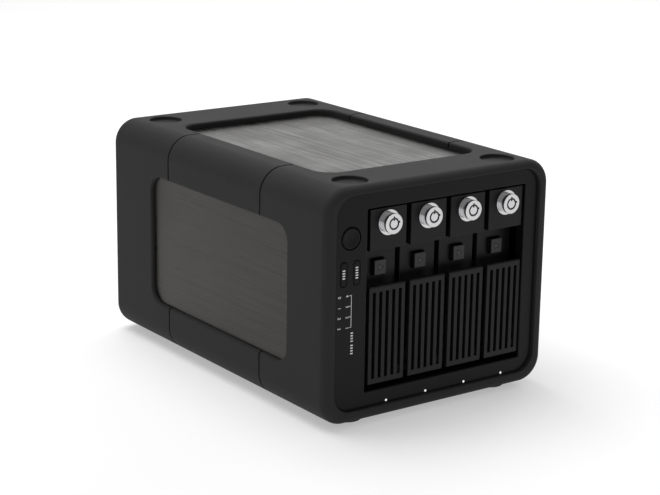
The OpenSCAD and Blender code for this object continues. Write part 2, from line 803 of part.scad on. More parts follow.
// Rocker, drawn pressed in at its upper end and hinged on two small pins
module switch_rocker() color("#b03028") place() translate([switch_x, rear_face - 1, switch_z])
    rotate([rocker_tilt, 0, 0]) {
        translate([-rocker_w / 2, 0, 0]) rotate([90, 0, 90]) linear_extrude(rocker_w)
            polygon([[0, -rocker_h / 2 + 0.4], [2.6, -rocker_h / 2 + 0.5], [1.6, 0],
                [2.6, rocker_h / 2 - 0.5], [0, rocker_h / 2 - 0.4], [-2.8, 0]]);
        translate([-rocker_w / 2 - 1, 0, 0]) rotate([0, 90, 0]) cylinder(r = 1, h = rocker_w + 2);
    }

module network_socket() color("#c9cbcc") place() difference() {
    block([board_x - net_t, rear_face - 21, net_z - net_w / 2],
        [board_x, rear_face + 0.5, net_z + net_w / 2]);
    block([board_x - net_t + 2.5, rear_face - 13, net_z - 5.9],
        [board_x - 2.5, rear_face + over, net_z + 5.9]);
}

module usb_socket() color("#c9cbcc") place() difference() {
    block([board_x - usb_t, rear_face - 9, usb_z - usb_w / 2],
        [board_x, rear_face + 0.3, usb_z + usb_w / 2]);
    along_y(rear_face - 7, rear_face + over)
        rounded(board_x - usb_t + usb_wall, usb_z - usb_w / 2 + usb_wall,
            board_x - usb_wall, usb_z + usb_w / 2 - usb_wall, 1.25);
}

drive_hole_inset = 6.65;
barrel_hole_r = lock_neck_d / 2 + 0.1;
boss_r = lock_neck_d / 2 + 2;
lug_x = tray_w / 2 - ear_t;
air_slot_pitch = 7.4;
air_slot_w = 4.8;
lock_panel_wall = 2;

// Tray front: lock panel, finger recess wall, vented lower frame and the handle's hinge lugs
module tray_front(i) color("#262627") place() translate([tray_x(i), 0, 0]) difference() {
    union() {
        difference() {
            block([-tray_w / 2, tray_y, recess_high], [tray_w / 2, tray_back, tray_top]);
            difference() {
                block([-tray_w / 2 + lock_panel_wall, tray_y + tray_wall,
                        recess_high + lock_panel_wall],
                    [tray_w / 2 - lock_panel_wall, tray_back + over, tray_top - lock_panel_wall]);
                translate([0, tray_back, lock_z]) rotate([90, 0, 0])
                    cylinder(r = boss_r, h = tray_back - tray_y);
            }
        }
        block([-tray_w / 2, recess_y, tray_z], [tray_w / 2, tray_back, recess_high + eps]);
        for (x = [-tray_w / 2, lug_x])
            along_x(x, x + ear_t) {
                translate([hinge_y, hinge_z]) circle(hinge_nose_r);
                translate([hinge_y, hinge_z - hinge_nose_r])
                    square([recess_y - hinge_y + eps, 2 * hinge_nose_r]);
            }
    }
    translate([0, tray_back + over, lock_z]) rotate([90, 0, 0])
        cylinder(r = barrel_hole_r, h = tray_back);
    block([-eject_w / 2 - eject_fit, 0, eject_z - eject_h / 2 - eject_fit],
        [eject_w / 2 + eject_fit, tray_back + over, eject_z + eject_h / 2 + eject_fit]);
    for (k = [-1, 0, 1])
        block([k * air_slot_pitch - air_slot_w / 2, recess_y - over, hinge_z + 8],
            [k * air_slot_pitch + air_slot_w / 2, tray_back + over, recess_low - 6]);
    translate([-tray_w / 2 - over, hinge_y, hinge_z]) rotate([0, 90, 0])
        cylinder(r = hinge_pin_r + run_fit, h = tray_w + 2 * over);
}

// Open carrier: a front plate with two rails that hold a drive by its screws
module tray_carrier(i) color("#9fa2a4") place() translate([tray_x(i), 0, 0]) {
    difference() {
        block([-rail_w / 2, tray_back, drive_low - rail_t],
            [rail_w / 2, tray_back + plate_t, drive_high + rail_t]);
        block([-eject_w / 2 - 3, 0, eject_z - eject_h / 2 - 3],
            [eject_w / 2 + 3, body_d, eject_z + eject_h / 2 + 3]);
        translate([0, body_d, lock_z]) rotate([90, 0, 0]) cylinder(r = post_d / 2 + 1, h = body_d);
        block([-10, 0, hinge_z + 6], [10, body_d, recess_low - 4]);
    }
    for (z = [drive_low - rail_t, drive_high])
        difference() {
            block([-rail_w / 2, tray_back, z], [rail_w / 2, rail_back, z + rail_t]);
            for (y = [drive_back - drive_hole_end - drive_hole_pitch, drive_back - drive_hole_end])
                translate([rail_w / 2 - drive_hole_inset, y, z - over])
                    cylinder(r = drive_hole_r, h = rail_t + 2 * over);
        }
}

bar_w = (tray_w - slot_count * slot_w) / (slot_count + 1);
handle_round = 1.2;
ear_x = lug_x - 0.3 - ear_t;

// Slotted lever that swings out on two pins near its lower end
module tray_handle(i) color("#3c3c3d") place() translate([tray_x(i), 0, 0]) {
    difference() {
        along_x(-tray_w / 2, tray_w / 2)
            rounded(handle_y, tray_z, handle_back, handle_top, handle_round);
        for (k = [0:slot_count - 1])
            block([-tray_w / 2 + bar_w + k * (bar_w + slot_w), 0, tray_z + slot_margin],
                [-tray_w / 2 + (k + 1) * (bar_w + slot_w), body_d, handle_top - slot_margin]);
    }
    for (x = [-ear_x - ear_t, ear_x])
        along_x(x, x + ear_t) {
            translate([hinge_y, hinge_z]) circle(hinge_nose_r);
            translate([handle_back - handle_round, hinge_z - hinge_nose_r])
                square([hinge_y - handle_back + handle_round, 2 * hinge_nose_r]);
        }
    for (s = [-1, 1])
        translate([s * (ear_x + eps), hinge_y, hinge_z]) rotate([0, 90 * s, 0])
            cylinder(r = hinge_pin_r, h = tray_w / 2 - ear_x - 0.1);
}

eject_flange = 1.6;
eject_flange_t = 1.2;
arrow_rise = 0.3;

// Square button with a raised arrow on its face and a stop flange behind the recess wall
module tray_eject_button(i) color("#2f2f30") place()
    translate([tray_x(i), recess_y - eject_proud, eject_z]) {
        block([-eject_w / 2, 0, -eject_h / 2],
            [eject_w / 2, eject_proud + tray_wall + touch_gap + eps, eject_h / 2]);
        translate([0, eject_proud + tray_wall + touch_gap, 0])
            block([-eject_w / 2 - eject_flange, 0, -eject_h / 2 - eject_flange],
                [eject_w / 2 + eject_flange, eject_flange_t, eject_h / 2 + eject_flange]);
        along_y(-arrow_rise, eps) polygon([[-1.6, -2], [-1.6, 2], [2, 0]]);
    }

ring_t = 0.8;
face_t = 1.6;
key_depth = 7;
notch_w = 1;
index_turn = 12;

// Tubular lock: ring, neck and face with a round key groove
module tray_lock_body(i) color("#e8e8ea") place() translate([tray_x(i), tray_y, lock_z])
    difference() {
        union() {
            rotate([90, 0, 0]) cylinder(d = lock_ring_d, h = ring_t);
            rotate([90, 0, 0]) cylinder(d = lock_neck_d, h = lock_len);
            translate([0, -lock_len + face_t, 0]) rotate([90, 0, 0])
                cylinder(d = lock_face_d, h = face_t);
            translate([0, tray_back - tray_y, 0]) rotate([90, 0, 0])
                cylinder(d = lock_neck_d, h = tray_back - tray_y + eps);
        }
        translate([0, -lock_len + key_depth, 0]) rotate([90, 0, 0])
            cylinder(d = key_d, h = key_depth + over);
        translate([0, tray_back, 0]) rotate([90, 0, 0])
            cylinder(r = post_d / 2 + run_fit, h = tray_back + lock_len);
        for (a = [-90 + index_turn, 0])
            rotate([0, -a, 0]) block([-notch_w / 2, -lock_len - over, 0],
                [notch_w / 2, -lock_len + 3, key_d / 2 + 0.8]);
    }

// Turning centre post with the cam at its inner end
module tray_lock_core(i) color("#d6d6d9") place() translate([tray_x(i), 0, lock_z]) {
    difference() {
        translate([0, tray_back + plate_t + cam_gap + eps, 0]) rotate([90, 0, 0])
            cylinder(d = post_d, h = tray_back + plate_t + cam_gap - lock_front - 0.1);
        block([-notch_w / 2, lock_front - over, post_d / 2 - 0.9],
            [notch_w / 2, lock_front + 3, post_d]);
    }
    translate([0, tray_back + plate_t + cam_gap, 0]) {
        rotate([-90, 0, 0]) cylinder(d = post_d + 1, h = cam_t);
        block([-2.2, 0, -7.5], [2.2, cam_t, 0]);
    }
}

front_bumper();
rear_bumper();
edge_rail(-1, 1);  // edge_rail_top_left
edge_rail(1, 1);  // edge_rail_top_right
edge_rail(-1, 0);  // edge_rail_bottom_left
edge_rail(1, 0);  // edge_rail_bottom_right
side_panel(-1);  // left_panel
side_panel(1);  // right_panel
flat_panel(chassis_high);  // top_panel
flat_panel(top_step);  // bottom_panel
chassis_floor();
chassis_cover();
feet();
front_bezel();
power_button();
pill_button(fan_button_x);  // fan_button
pill_button(mode_x);  // mode_button
front_panel_board();
status_lights();
drive_cage();
backplane_board();
drive_connectors();
controller_board();
heat_sink();
power_supply();
rear_panel();
rear_screws();
fan_frame();
fan_rotor();
fan_guard();
power_inlet();
switch_frame();
switch_rocker();
network_socket();
usb_socket();
for (i = [0:3]) {
    tray_front(i);
    tray_carrier(i);
    tray_handle(i);
    tray_eject_button(i);
    tray_lock_body(i);
    tray_lock_core(i);
}
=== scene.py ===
import functools
import json
import math

import bmesh
import bpy
from mathutils import Euler, Matrix, Vector
from mathutils.geometry import delaunay_2d_cdt


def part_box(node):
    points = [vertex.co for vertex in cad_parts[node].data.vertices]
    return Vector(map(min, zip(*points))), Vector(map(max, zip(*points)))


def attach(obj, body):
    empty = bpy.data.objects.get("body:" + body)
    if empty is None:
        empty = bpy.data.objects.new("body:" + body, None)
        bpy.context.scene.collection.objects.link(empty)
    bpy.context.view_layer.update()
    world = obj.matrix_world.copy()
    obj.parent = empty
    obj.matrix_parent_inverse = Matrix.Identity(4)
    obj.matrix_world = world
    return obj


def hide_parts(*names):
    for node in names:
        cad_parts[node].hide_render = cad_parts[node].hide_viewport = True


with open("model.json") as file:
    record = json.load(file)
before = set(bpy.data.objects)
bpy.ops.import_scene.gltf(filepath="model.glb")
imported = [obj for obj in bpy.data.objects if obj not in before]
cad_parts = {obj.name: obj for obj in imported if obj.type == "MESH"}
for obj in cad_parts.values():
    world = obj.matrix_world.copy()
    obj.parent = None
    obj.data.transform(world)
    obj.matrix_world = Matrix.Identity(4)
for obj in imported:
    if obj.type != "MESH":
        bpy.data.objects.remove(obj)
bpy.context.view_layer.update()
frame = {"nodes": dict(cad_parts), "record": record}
nodes = frame["nodes"]
scene = bpy.context.scene
scene.view_settings.view_transform = "Standard"

# Sizes below are in mm from the middle of the body (x), its front lip (y) and its underside (z)
mm = 0.001
bodyStart = Vector((0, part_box("front_bumper")[0].y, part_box("front_bumper")[0].z))
toMetres = Matrix.Translation(bodyStart) @ Matrix.Diagonal((mm, mm, mm, 1))
trayNumbers = (1, 2, 3, 4)


@functools.cache
def boxOf(node):
    low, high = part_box(node)
    return (low - bodyStart) / mm, (high - bodyStart) / mm


def middleOf(node):
    low, high = boxOf(node)
    return (low + high) / 2


# Camera, floor and light
print("studio")
cameraView = {"lens": 98.44, "azimuth": -35.94, "elevation": 15.287, "roll": 0.892,
              "position": (-0.68325, -0.95285, 0.39583)}


def makeCamera():
    turn, lift, roll = (math.radians(cameraView[k]) for k in ("azimuth", "elevation", "roll"))
    back = Vector((math.sin(turn) * math.cos(lift), -math.cos(turn) * math.cos(lift), math.sin(lift)))
    right = (-back).cross(Vector((0, 0, 1))).normalized()
    up = back.cross(right)
    rightRolled = right * math.cos(roll) + up * math.sin(roll)
    upRolled = up * math.cos(roll) - right * math.sin(roll)
    data = bpy.data.cameras.new("studioCamera")
    data.lens, data.sensor_width = cameraView["lens"], 36
    camera = bpy.data.objects.new("studioCamera", data)
    camera.matrix_world = Matrix.Translation(cameraView["position"]) @ Matrix(
        (rightRolled, upRolled, back)).transposed().to_4x4()
    scene.collection.objects.link(camera)
    scene.camera = camera


class Signal:
    # One output socket; arithmetic on it adds Math nodes to its tree
    def __init__(self, tree, socket):
        self.tree, self.socket = tree, socket

    def maths(self, operation, *values):
        return self.tree.add("ShaderNodeMath", {"operation": operation}, dict(enumerate(values)))

    def __add__(self, other):
        return self.maths("ADD", self, other)

    def __radd__(self, other):
        return self.maths("ADD", other, self)

    def __sub__(self, other):
        return self.maths("SUBTRACT", self, other)

    def __rsub__(self, other):
        return self.maths("SUBTRACT", other, self)

    def __mul__(self, other):
        return self.maths("MULTIPLY", self, other)

    def __rmul__(self, other):
        return self.maths("MULTIPLY", other, self)

    def __truediv__(self, other):
        return self.maths("DIVIDE", self, other)

    def __lt__(self, other):
        return self.maths("LESS_THAN", self, other)


class Tree:
    def __init__(self, nodeTree):
        self.nodeTree = nodeTree

    def add(self, kind, settings=None, values=None, output=0):
        node = self.nodeTree.nodes.new(kind)
        for key, value in (settings or {}).items():
            if key == "stops":
                for stop in value[2:]:
                    node.color_ramp.elements.new(stop[0])
                for element, stop in zip(node.color_ramp.elements, value):
                    element.position, element.color = stop[0], (*stop[1], 1)
            else:
                setattr(node, key, value)
        self.feed(node, values or {})
        return Signal(self, node.outputs[output])

    def feed(self, node, values):
        for key, value in values.items():
            socket = node.inputs[key]
            if isinstance(value, Signal):
                self.nodeTree.links.new(value.socket, socket)
            else:
                socket.default_value = value


class Finish(Tree):
    # A Principled material on Object coordinates, whose parts are in metres
    def __init__(self, name, constants):
        self.material = bpy.data.materials.new(name)
        self.material.use_nodes = True
        super().__init__(self.material.node_tree)
        self.shader = self.nodeTree.nodes["Principled BSDF"]
        self.feed(self.shader, constants)
        self.place = self.add("ShaderNodeTexCoord", output=3)

    def stretched(self, scale, turn=(0, 0, 0)):
        return self.add("ShaderNodeMapping", values={"Vector": self.place, "Scale": scale, "Rotation": turn})

    def noise(self, scale, detail=2, place=None, roughness=0.5):
        return self.add("ShaderNodeTexNoise", values={
            "Vector": place or self.place, "Scale": scale, "Detail": detail, "Roughness": roughness})

    def between(self, factor, first, second):
        return self.add("ShaderNodeMix", {"data_type": "RGBA"},
                        {0: factor, 6: (*first, 1), 7: (*second, 1)}, 2)

    def bump(self, height, strength, distance):
        self.use({"Normal": self.add("ShaderNodeBump", values={
            "Height": height, "Strength": strength, "Distance": distance})})

    def use(self, values):
        self.feed(self.shader, values)
        return self


finishes = {}


def addFinish(slot, finish):
    finishes[slot] = finish.material


# Moulded plastics and rubbers: two close colours, a fine moulded grain and faint handling marks
mouldedLooks = {
    "bumper_rubber": {"dark": (0.0230, 0.0230, 0.0233), "light": (0.0310, 0.0310, 0.0313), "rough": 0.66,
                      "change": 0.10, "grain": 2600, "depth": 0.00006, "strength": 0.28, "gloss": 0.10},
    "foot_rubber": {"dark": (0.010, 0.010, 0.011), "light": (0.016, 0.016, 0.016), "rough": 0.75,
                    "change": 0.10, "grain": 1800, "depth": 0.00008, "strength": 0.35, "gloss": 0.2},
    "bezel_plastic": {"dark": (0.0036, 0.0036, 0.0039), "light": (0.0058, 0.0058, 0.0061), "rough": 0.38,
                      "change": 0.07, "grain": 3600, "depth": 0.00003, "strength": 0.22, "gloss": 0.15},
    "button_plastic": {"dark": (0.0034, 0.0034, 0.0037), "light": (0.0055, 0.0055, 0.0058), "rough": 0.44,
                       "change": 0.06, "grain": 4200, "depth": 0.00003, "strength": 0.18, "gloss": 0.14},
    "tray_plastic": {"dark": (0.0042, 0.0042, 0.0046), "light": (0.0068, 0.0068, 0.0072), "rough": 0.38,
                     "change": 0.07, "grain": 3600, "depth": 0.00003, "strength": 0.22, "gloss": 0.20},
    "handle_plastic": {"dark": (0.0060, 0.0060, 0.0064), "light": (0.0092, 0.0092, 0.0096), "rough": 0.44,
                       "change": 0.08, "grain": 3000, "depth": 0.00004, "strength": 0.25, "gloss": 0.22},
    "eject_plastic": {"dark": (0.0060, 0.0060, 0.0064), "light": (0.0092, 0.0092, 0.0096), "rough": 0.32,
                      "change": 0.06, "grain": 4200, "depth": 0.00003, "strength": 0.18, "gloss": 0.40},
    "connector_black": {"dark": (0.010, 0.010, 0.010), "light": (0.014, 0.014, 0.014), "rough": 0.5,
                        "change": 0.08, "grain": 2600, "depth": 0.00004, "strength": 0.2, "gloss": 0.3},
    "fan_plastic": {"dark": (0.012, 0.012, 0.0125), "light": (0.019, 0.019, 0.0195), "rough": 0.48,
                    "change": 0.1, "grain": 2400, "depth": 0.00004, "strength": 0.2, "gloss": 0.35},
    "rocker_plastic": {"dark": (0.36, 0.022, 0.018), "light": (0.42, 0.030, 0.024), "rough": 0.32,
                       "change": 0.06, "grain": 3600, "depth": 0.00002, "strength": 0.12, "gloss": 0.5},
}


def mouldedFinish(name, look):
    finish = Finish(name, {"Specular IOR Level": look["gloss"]})
    grain = finish.noise(look["grain"], 3)
    cloud = finish.noise(38, 3)
    wear = finish.noise(240, 4, roughness=0.7)
    tone = cloud * 0.55 + grain * 0.45
    finish.use({"Base Color": finish.between(tone, look["dark"], look["light"]),
                "Roughness": look["rough"] + (cloud - 0.5) * look["change"] + (wear - 0.5) * look["change"]})
    finish.bump(grain + wear * 0.25, look["strength"], look["depth"])
    return finish


# Sheet, cast and plated metals; grain is how fine the brushing is across x, y and z
metalLooks = {
    "panel_aluminium": {"dark": (0.0205, 0.0198, 0.0186), "light": (0.066, 0.0630, 0.0580), "rough": 0.36,
                        "change": 0.30, "grain": (1900, 18, 1900), "strength": 0.9, "metal": 0.92,
                        "contrast": 3.0},
    "chassis_steel": {"dark": (0.045, 0.046, 0.048), "light": (0.085, 0.086, 0.088), "rough": 0.42,
                      "change": 0.2, "grain": (160, 160, 160), "strength": 0.08, "metal": 1.0},
    "supply_steel": {"dark": (0.12, 0.122, 0.126), "light": (0.19, 0.193, 0.198), "rough": 0.36,
                     "change": 0.2, "grain": (220, 220, 220), "strength": 0.08, "metal": 1.0},
    "carrier_steel": {"dark": (0.42, 0.43, 0.44), "light": (0.58, 0.59, 0.60), "rough": 0.33,
                      "change": 0.18, "grain": (500, 14, 500), "strength": 0.12, "metal": 1.0},
    "sink_aluminium": {"dark": (0.60, 0.61, 0.63), "light": (0.74, 0.75, 0.77), "rough": 0.36,
                       "change": 0.15, "grain": (900, 12, 900), "strength": 0.15, "metal": 1.0},
    "socket_steel": {"dark": (0.50, 0.50, 0.50), "light": (0.64, 0.64, 0.63), "rough": 0.26,
                     "change": 0.16, "grain": (500, 500, 500), "strength": 0.08, "metal": 1.0},
    "guard_chrome": {"dark": (0.62, 0.63, 0.64), "light": (0.74, 0.75, 0.76), "rough": 0.16,
                     "change": 0.14, "grain": (600, 600, 600), "strength": 0.05, "metal": 1.0},
    "lock_chrome": {"dark": (0.56, 0.56, 0.57), "light": (0.70, 0.70, 0.71), "rough": 0.13,
                    "change": 0.10, "grain": (900, 900, 900), "strength": 0.04, "metal": 1.0},
    "screw_steel": {"dark": (0.035, 0.036, 0.040), "light": (0.07, 0.072, 0.078), "rough": 0.32,
                    "change": 0.14, "grain": (1500, 1500, 1500), "strength": 0.1, "metal": 0.9},
    "contact_gold": {"dark": (0.62, 0.42, 0.14), "light": (0.80, 0.58, 0.24), "rough": 0.22,
                     "change": 0.1, "grain": (900, 900, 900), "strength": 0.05, "metal": 1.0},
}


def metalFinish(name, look):
    finish = Finish(name, {"Metallic": look["metal"]})
    fine = finish.noise(1, 4, finish.stretched(look["grain"]), 0.6)
    broad = finish.noise(26, 3)
    scuff = finish.noise(1, 2, finish.stretched([g * 0.22 for g in look["grain"]]))
    tone = (fine * 0.6 + scuff * 0.25 + broad * 0.15 - 0.5) * look.get("contrast", 1) + 0.5
    finish.use({"Base Color": finish.between(tone, look["dark"], look["light"]),
                "Roughness": look["rough"] + (tone - 0.5) * look["change"]
                + (broad - 0.5) * look["change"] * 0.5})
    finish.bump(fine + scuff * 0.5, look["strength"], 0.00004)
    return finish


def rearPaintFinish():
    look = {"dark": (0.030, 0.031, 0.033), "light": (0.052, 0.053, 0.056)}
    finish = Finish("rear_paint", {"IOR": 1.5})
    orangePeel = finish.noise(1300, 3)
    cloud = finish.noise(30, 2)
    finish.use({"Base Color": finish.between(orangePeel * 0.5 + cloud * 0.5, look["dark"], look["light"]),
                "Roughness": 0.48 + (orangePeel - 0.5) * 0.2})
    finish.bump(orangePeel, 0.5, 0.00008)
    return finish


# Solder mask over copper tracks: the tracks are the walls of Chebychev Voronoi cells
def boardFinish():
    finish = Finish("board_green", {"IOR": 1.5})
    cells = finish.add("ShaderNodeTexVoronoi", {"feature": "DISTANCE_TO_EDGE", "distance": "CHEBYCHEV"},
                       {"Vector": finish.place, "Scale": 260}, 0)
    tracks = cells < 0.07
    grain = finish.noise(900, 2)
    finish.use({"Base Color": finish.between(tracks, (0.006, 0.075, 0.030), (0.020, 0.16, 0.060)),
                "Roughness": 0.26 + grain * 0.12})
    finish.bump(tracks + grain * 0.1, 0.2, 0.00003)
    return finish


def lightFinish():
    finish = Finish("light_clear", {"IOR": 1.49, "Emission Strength": 0.55})
    milk = finish.noise(1500, 2)
    finish.use({"Base Color": finish.between(milk, (0.80, 0.80, 0.78), (0.92, 0.92, 0.90)),
                "Emission Color": finish.between(milk, (0.9, 0.92, 0.9), (1, 1, 0.96)),
                "Roughness": 0.22 + milk * 0.1})
    return finish


def legendFinish():
    finish = Finish("legendInk", {"IOR": 1.45})
    wear = finish.noise(1800, 3)
    finish.use({"Base Color": finish.between(wear, (0.70, 0.70, 0.70), (0.86, 0.86, 0.85)),
                "Roughness": 0.5 + wear * 0.15})
    return finish


# Painted shade: a near-black finish for the walls inside the lock keyway, standing in for the shade in the slot,
# with a little random variation
def keywayShadeFinish():
    finish = Finish("keywayPaintedShade", {"IOR": 1.4})
    shadeNoise = finish.noise(700, 4)
    finish.use({"Base Color": finish.between(shadeNoise, (0.002, 0.002, 0.002), (0.006, 0.006, 0.006)),
                "Roughness": 0.8 + shadeNoise * 0.1})
    return finish


for slotName, slotLook in mouldedLooks.items():
    addFinish(slotName, mouldedFinish(slotName, slotLook))
for slotName, slotLook in metalLooks.items():
    addFinish(slotName, metalFinish(slotName, slotLook))
addFinish("rear_paint", rearPaintFinish())
addFinish("board_green", boardFinish())
addFinish("light_clear", lightFinish())
addFinish("legendInk", legendFinish())
addFinish("keywayPaintedShade", keywayShadeFinish())
# Painted highlight: a lighter grey for the eject arrow's raised front faces, standing in for the light its embossed
# edges catch
addFinish("arrowPaintedHighlight", mouldedFinish("arrowPaintedHighlight", {
    "dark": (0.035, 0.035, 0.036), "light": (0.050, 0.050, 0.051), "rough": 0.4, "change": 0.05,
    "grain": 4000, "depth": 0.00002, "strength": 0.1, "gloss": 0.4}))


studio = {"floorSize": 14, "floorTone": (0.62, 0.62, 0.62), "floorGlow": 0.40, "worldStrength": 0.34,
          "lights": (
              # name, place, aim, size x, size y, watts
              ("topSoftbox", (-0.22, 0.50, 1.55), (0, 0.05, 0.1), 1.5, 1.1, 22),
              ("backSoftbox", (1.35, 1.85, 0.85), (0, 0, 0.12), 2.4, 1.2, 9),
              ("rightSoftbox", (1.60, 0.45, 1.05), (0, 0, 0.12), 1.2, 0.9, 9),
              ("leftSoftbox", (-1.75, -0.25, 0.75), (0, 0, 0.08), 1.1, 1.3, 0.25),
              ("frontSoftbox", (0.55, -1.70, 0.75), (0, -0.1, 0.08), 1.0, 1.1, 0.35),
          )}


def paper(name, tone, roughness):
    finish = Finish(name, {"IOR": 1.3, "Emission Color": (1, 1, 1, 1),
                           "Emission Strength": studio["floorGlow"]})
    fibre = finish.noise(60, 3)
    finish.use({"Base Color": finish.between(fibre, tone, [t * 0.985 for t in tone]),
                "Roughness": roughness + fibre * 0.05})
    return finish.material


def makeStudio():
    half = studio["floorSize"] / 2
    mesh = bpy.data.meshes.new("studioFloor")
    corners = [(-half, -half, 0), (half, -half, 0), (half, half, 0), (-half, half, 0)]
    mesh.from_pydata(corners, [], [(0, 1, 2, 3)])
    mesh.materials.append(paper("floorPaper", studio["floorTone"], 0.9))
    floor = bpy.data.objects.new("studioFloor", mesh)
    scene.collection.objects.link(floor)
    for name, place, aim, width, height, watts in studio["lights"]:
        data = bpy.data.lights.new(name, "AREA")
        data.shape, data.size, data.size_y, data.energy = "RECTANGLE", width, height, watts
        light = bpy.data.objects.new(name, data)
        light.location = place
        light.rotation_euler = (Vector(aim) - Vector(place)).to_track_quat("-Z", "Y").to_euler()
        scene.collection.objects.link(light)
    world = bpy.data.worlds.new("studioWorld")
    world.use_nodes = True
    tree = Tree(world.node_tree)
    tree.feed(world.node_tree.nodes["Background"],
              {"Color": (1, 1, 1, 1), "Strength": studio["worldStrength"]})
    scene.world = world


makeCamera()
makeStudio()


# Mesh helpers
def cadMesh(node):
    # The node's surface with its triangles merged into whole faces, in mm
    source = nodes[node].data
    mesh = bmesh.new()
    points = [mesh.verts.new((v.co - bodyStart) / mm) for v in source.vertices]
    for face in source.polygons:
        try:
            mesh.faces.new([points[i] for i in face.vertices])
        except ValueError:
            pass
    bmesh.ops.remove_doubles(mesh, verts=mesh.verts, dist=0.002)
    bmesh.ops.dissolve_degenerate(mesh, dist=0.0005, edges=mesh.edges)
    bmesh.ops.dissolve_limit(mesh, angle_limit=math.radians(0.8), verts=mesh.verts, edges=mesh.edges)
    bmesh.ops.triangulate(mesh, faces=[f for f in mesh.faces if len(f.verts) > 4], ngon_method="BEAUTY")
    return mesh


def finishMesh(mesh, name):
    mesh.transform(toMetres)
    data = bpy.data.meshes.new(name)
    mesh.to_mesh(data)
    mesh.free()
    piece = bpy.data.objects.new(name, data)
    scene.collection.objects.link(piece)
    return piece


def applyModifiers(piece):
    graph = bpy.context.evaluated_depsgraph_get()
    made = bpy.data.meshes.new_from_object(piece.evaluated_get(graph))
    piece.modifiers.clear()
    piece.data = made
    made.name = piece.name


def dress(piece, slot, body, replaced=(), shown=None):
    piece.data.materials.clear()
    piece.data.materials.append(finishes[shown or slot])
    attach(piece, body)
    if replaced:
        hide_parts(*replaced)
    return piece


# Rounds the edges of a copied node; rule(a, b, angle) gives an edge's radius in mm, or 0
def softened(node, name, rule, segments=2):
    mesh = cadMesh(node)
    layer = mesh.edges.layers.float.new("bevel_weight_edge")
    widest = 0.0
    widths = {}
    for edge in mesh.edges:
        if len(edge.link_faces) != 2:
            continue
        angle = math.degrees(edge.calc_face_angle(0))
        if angle < 28:
            continue
        width = rule(edge.verts[0].co, edge.verts[1].co, angle)
        widths[edge] = width
        widest = max(widest, width)
    for edge, width in widths.items():
        edge[layer] = width / widest
        edge.smooth = width > 0
    for face in mesh.faces:
        face.smooth = True
    piece = finishMesh(mesh, name)
    bevel = piece.modifiers.new("softEdges", "BEVEL")
    bevel.width, bevel.segments, bevel.limit_method = widest * mm, segments, "WEIGHT"
    bevel.use_clamp_overlap, bevel.harden_normals, bevel.loop_slide = False, True, False
    bevel.miter_outer = "MITER_SHARP"
    applyModifiers(piece)
    return piece


def evenly(width):
    return lambda a, b, angle: width


print("bumpers and rails")
# Bumpers and rails are rolled out flat, with s running round the body and y back from the lip,
# cut to their outlines there and then wrapped round the body's section
skinSizes = {"edgeRadius": 16.5, "sideCorner": 11, "flatCorner": 13, "panelLap": 6,
             "windowRound": 1.6, "seamRound": 0.3, "seamOpen": 0.15, "recessRim": 0.8, "notchEase": 3.2,
             "frontFillet": 5.5, "rearFillet": 7.5,
             "lipDepth": 7, "lipSide": 7.8, "lipTop": 5.1, "lipCorner": 13, "lipRound": 1.0,
             "sideDepth": 2.75, "flatDepth": 4.15, "recessPitch": 57.8, "recessRadius": 11,
             "recessDepth": 2.5, "recessFront": 18.1, "recessRear": 23.2}
arcSteps = 16
roundSteps = 4


def sectionRuns():
    # Straight and round runs of the body's section, from near the bottom window's right edge
    low, high = boxOf("front_bumper")
    r, top, right = skinSizes["edgeRadius"], high.z, high.x
    flat = right - r
    start = windowBox("bottom_panel")[0][1].x + 3
    return [((start, 0), (flat, 0)), ((flat, r), -90), ((right, r), (right, top - r)), ((flat, top - r), 0),
            ((flat, top), (-flat, top)), ((-flat, top - r), 90), ((-right, top - r), (-right, r)),
            ((-flat, r), 180), ((-flat, 0), (start, 0))]


def windowBox(panel):
    low, high = boxOf(panel)
    lap = Vector((skinSizes["panelLap"],) * 3)
    return (low + lap, high - lap), (skinSizes["sideCorner"] if panel[0] in "lr" else skinSizes["flatCorner"])


class Section:
    def __init__(self):
        self.r = skinSizes["edgeRadius"]
        self.runs, self.starts, s = sectionRuns(), [], 0.0
        for a, b in self.runs:
            self.starts.append(s)
            s += self.r * math.pi / 2 if isinstance(b, int) else abs(b[0] - a[0]) + abs(b[1] - a[1])
        self.length = s
        self.ends = self.starts[1:] + [s]

    def at(self, s):
        # Point on the section and its outward normal
        k = max(i for i, start in enumerate(self.starts) if s >= start - 1e-9)
        a, b = self.runs[k]
        if isinstance(b, int):
            angle = math.radians(b) + (s - self.starts[k]) / self.r
            n = Vector((math.cos(angle), math.sin(angle)))
            return Vector(a) + n * self.r, n
        along = (Vector(b) - Vector(a)).normalized()
        return Vector(a) + along * (s - self.starts[k]), Vector((along.y, -along.x))

    def stations(self, s0, s1):
        # Places between s0 and s1 that follow the round corners
        found = {s0, s1}
        for k, (a, b) in enumerate(self.runs):
            steps = arcSteps if isinstance(b, int) else 1
            for i in range(steps + 1):
                s = self.starts[k] + (self.ends[k] - self.starts[k]) * i / steps
                if s0 < s < s1:
                    found.add(s)
        return sorted(found)

    def corners(self):
        return [(self.starts[k], self.ends[k]) for k, run in enumerate(self.runs) if isinstance(run[1], int)]


section = Section()


def wrapped(s, y, depth):
    point, normal = section.at(s)
    point = point - normal * depth
    return Vector((point.x, y, point.y))


def innerDepth(s):
    facing = abs(section.at(s)[1].x)
    return skinSizes["flatDepth"] + (skinSizes["sideDepth"] - skinSizes["flatDepth"]) * facing


def windowSpans():
    # (s0, s1, front y, rear y, corner radius) of each window, in order round the section
    spans = []
    for panel, run in (("right_panel", 2), ("top_panel", 4), ("left_panel", 6), ("bottom_panel", 8)):
        (low, high), corner = windowBox(panel)
        ends = {"right_panel": ((high.x, low.z), (high.x, high.z)), "top_panel": ((high.x, 0), (low.x, 0)),
                "left_panel": ((0, high.z), (0, low.z)), "bottom_panel": ((low.x, 0), (high.x, 0))}[panel]
        a = section.runs[run][0]
        places = [section.starts[run] + (abs(end[1] - a[1]) if run in (2, 6) else abs(end[0] - a[0]))
                  for end in ends]
        spans.append((places[0], places[1], low.y, high.y, corner))
    return spans


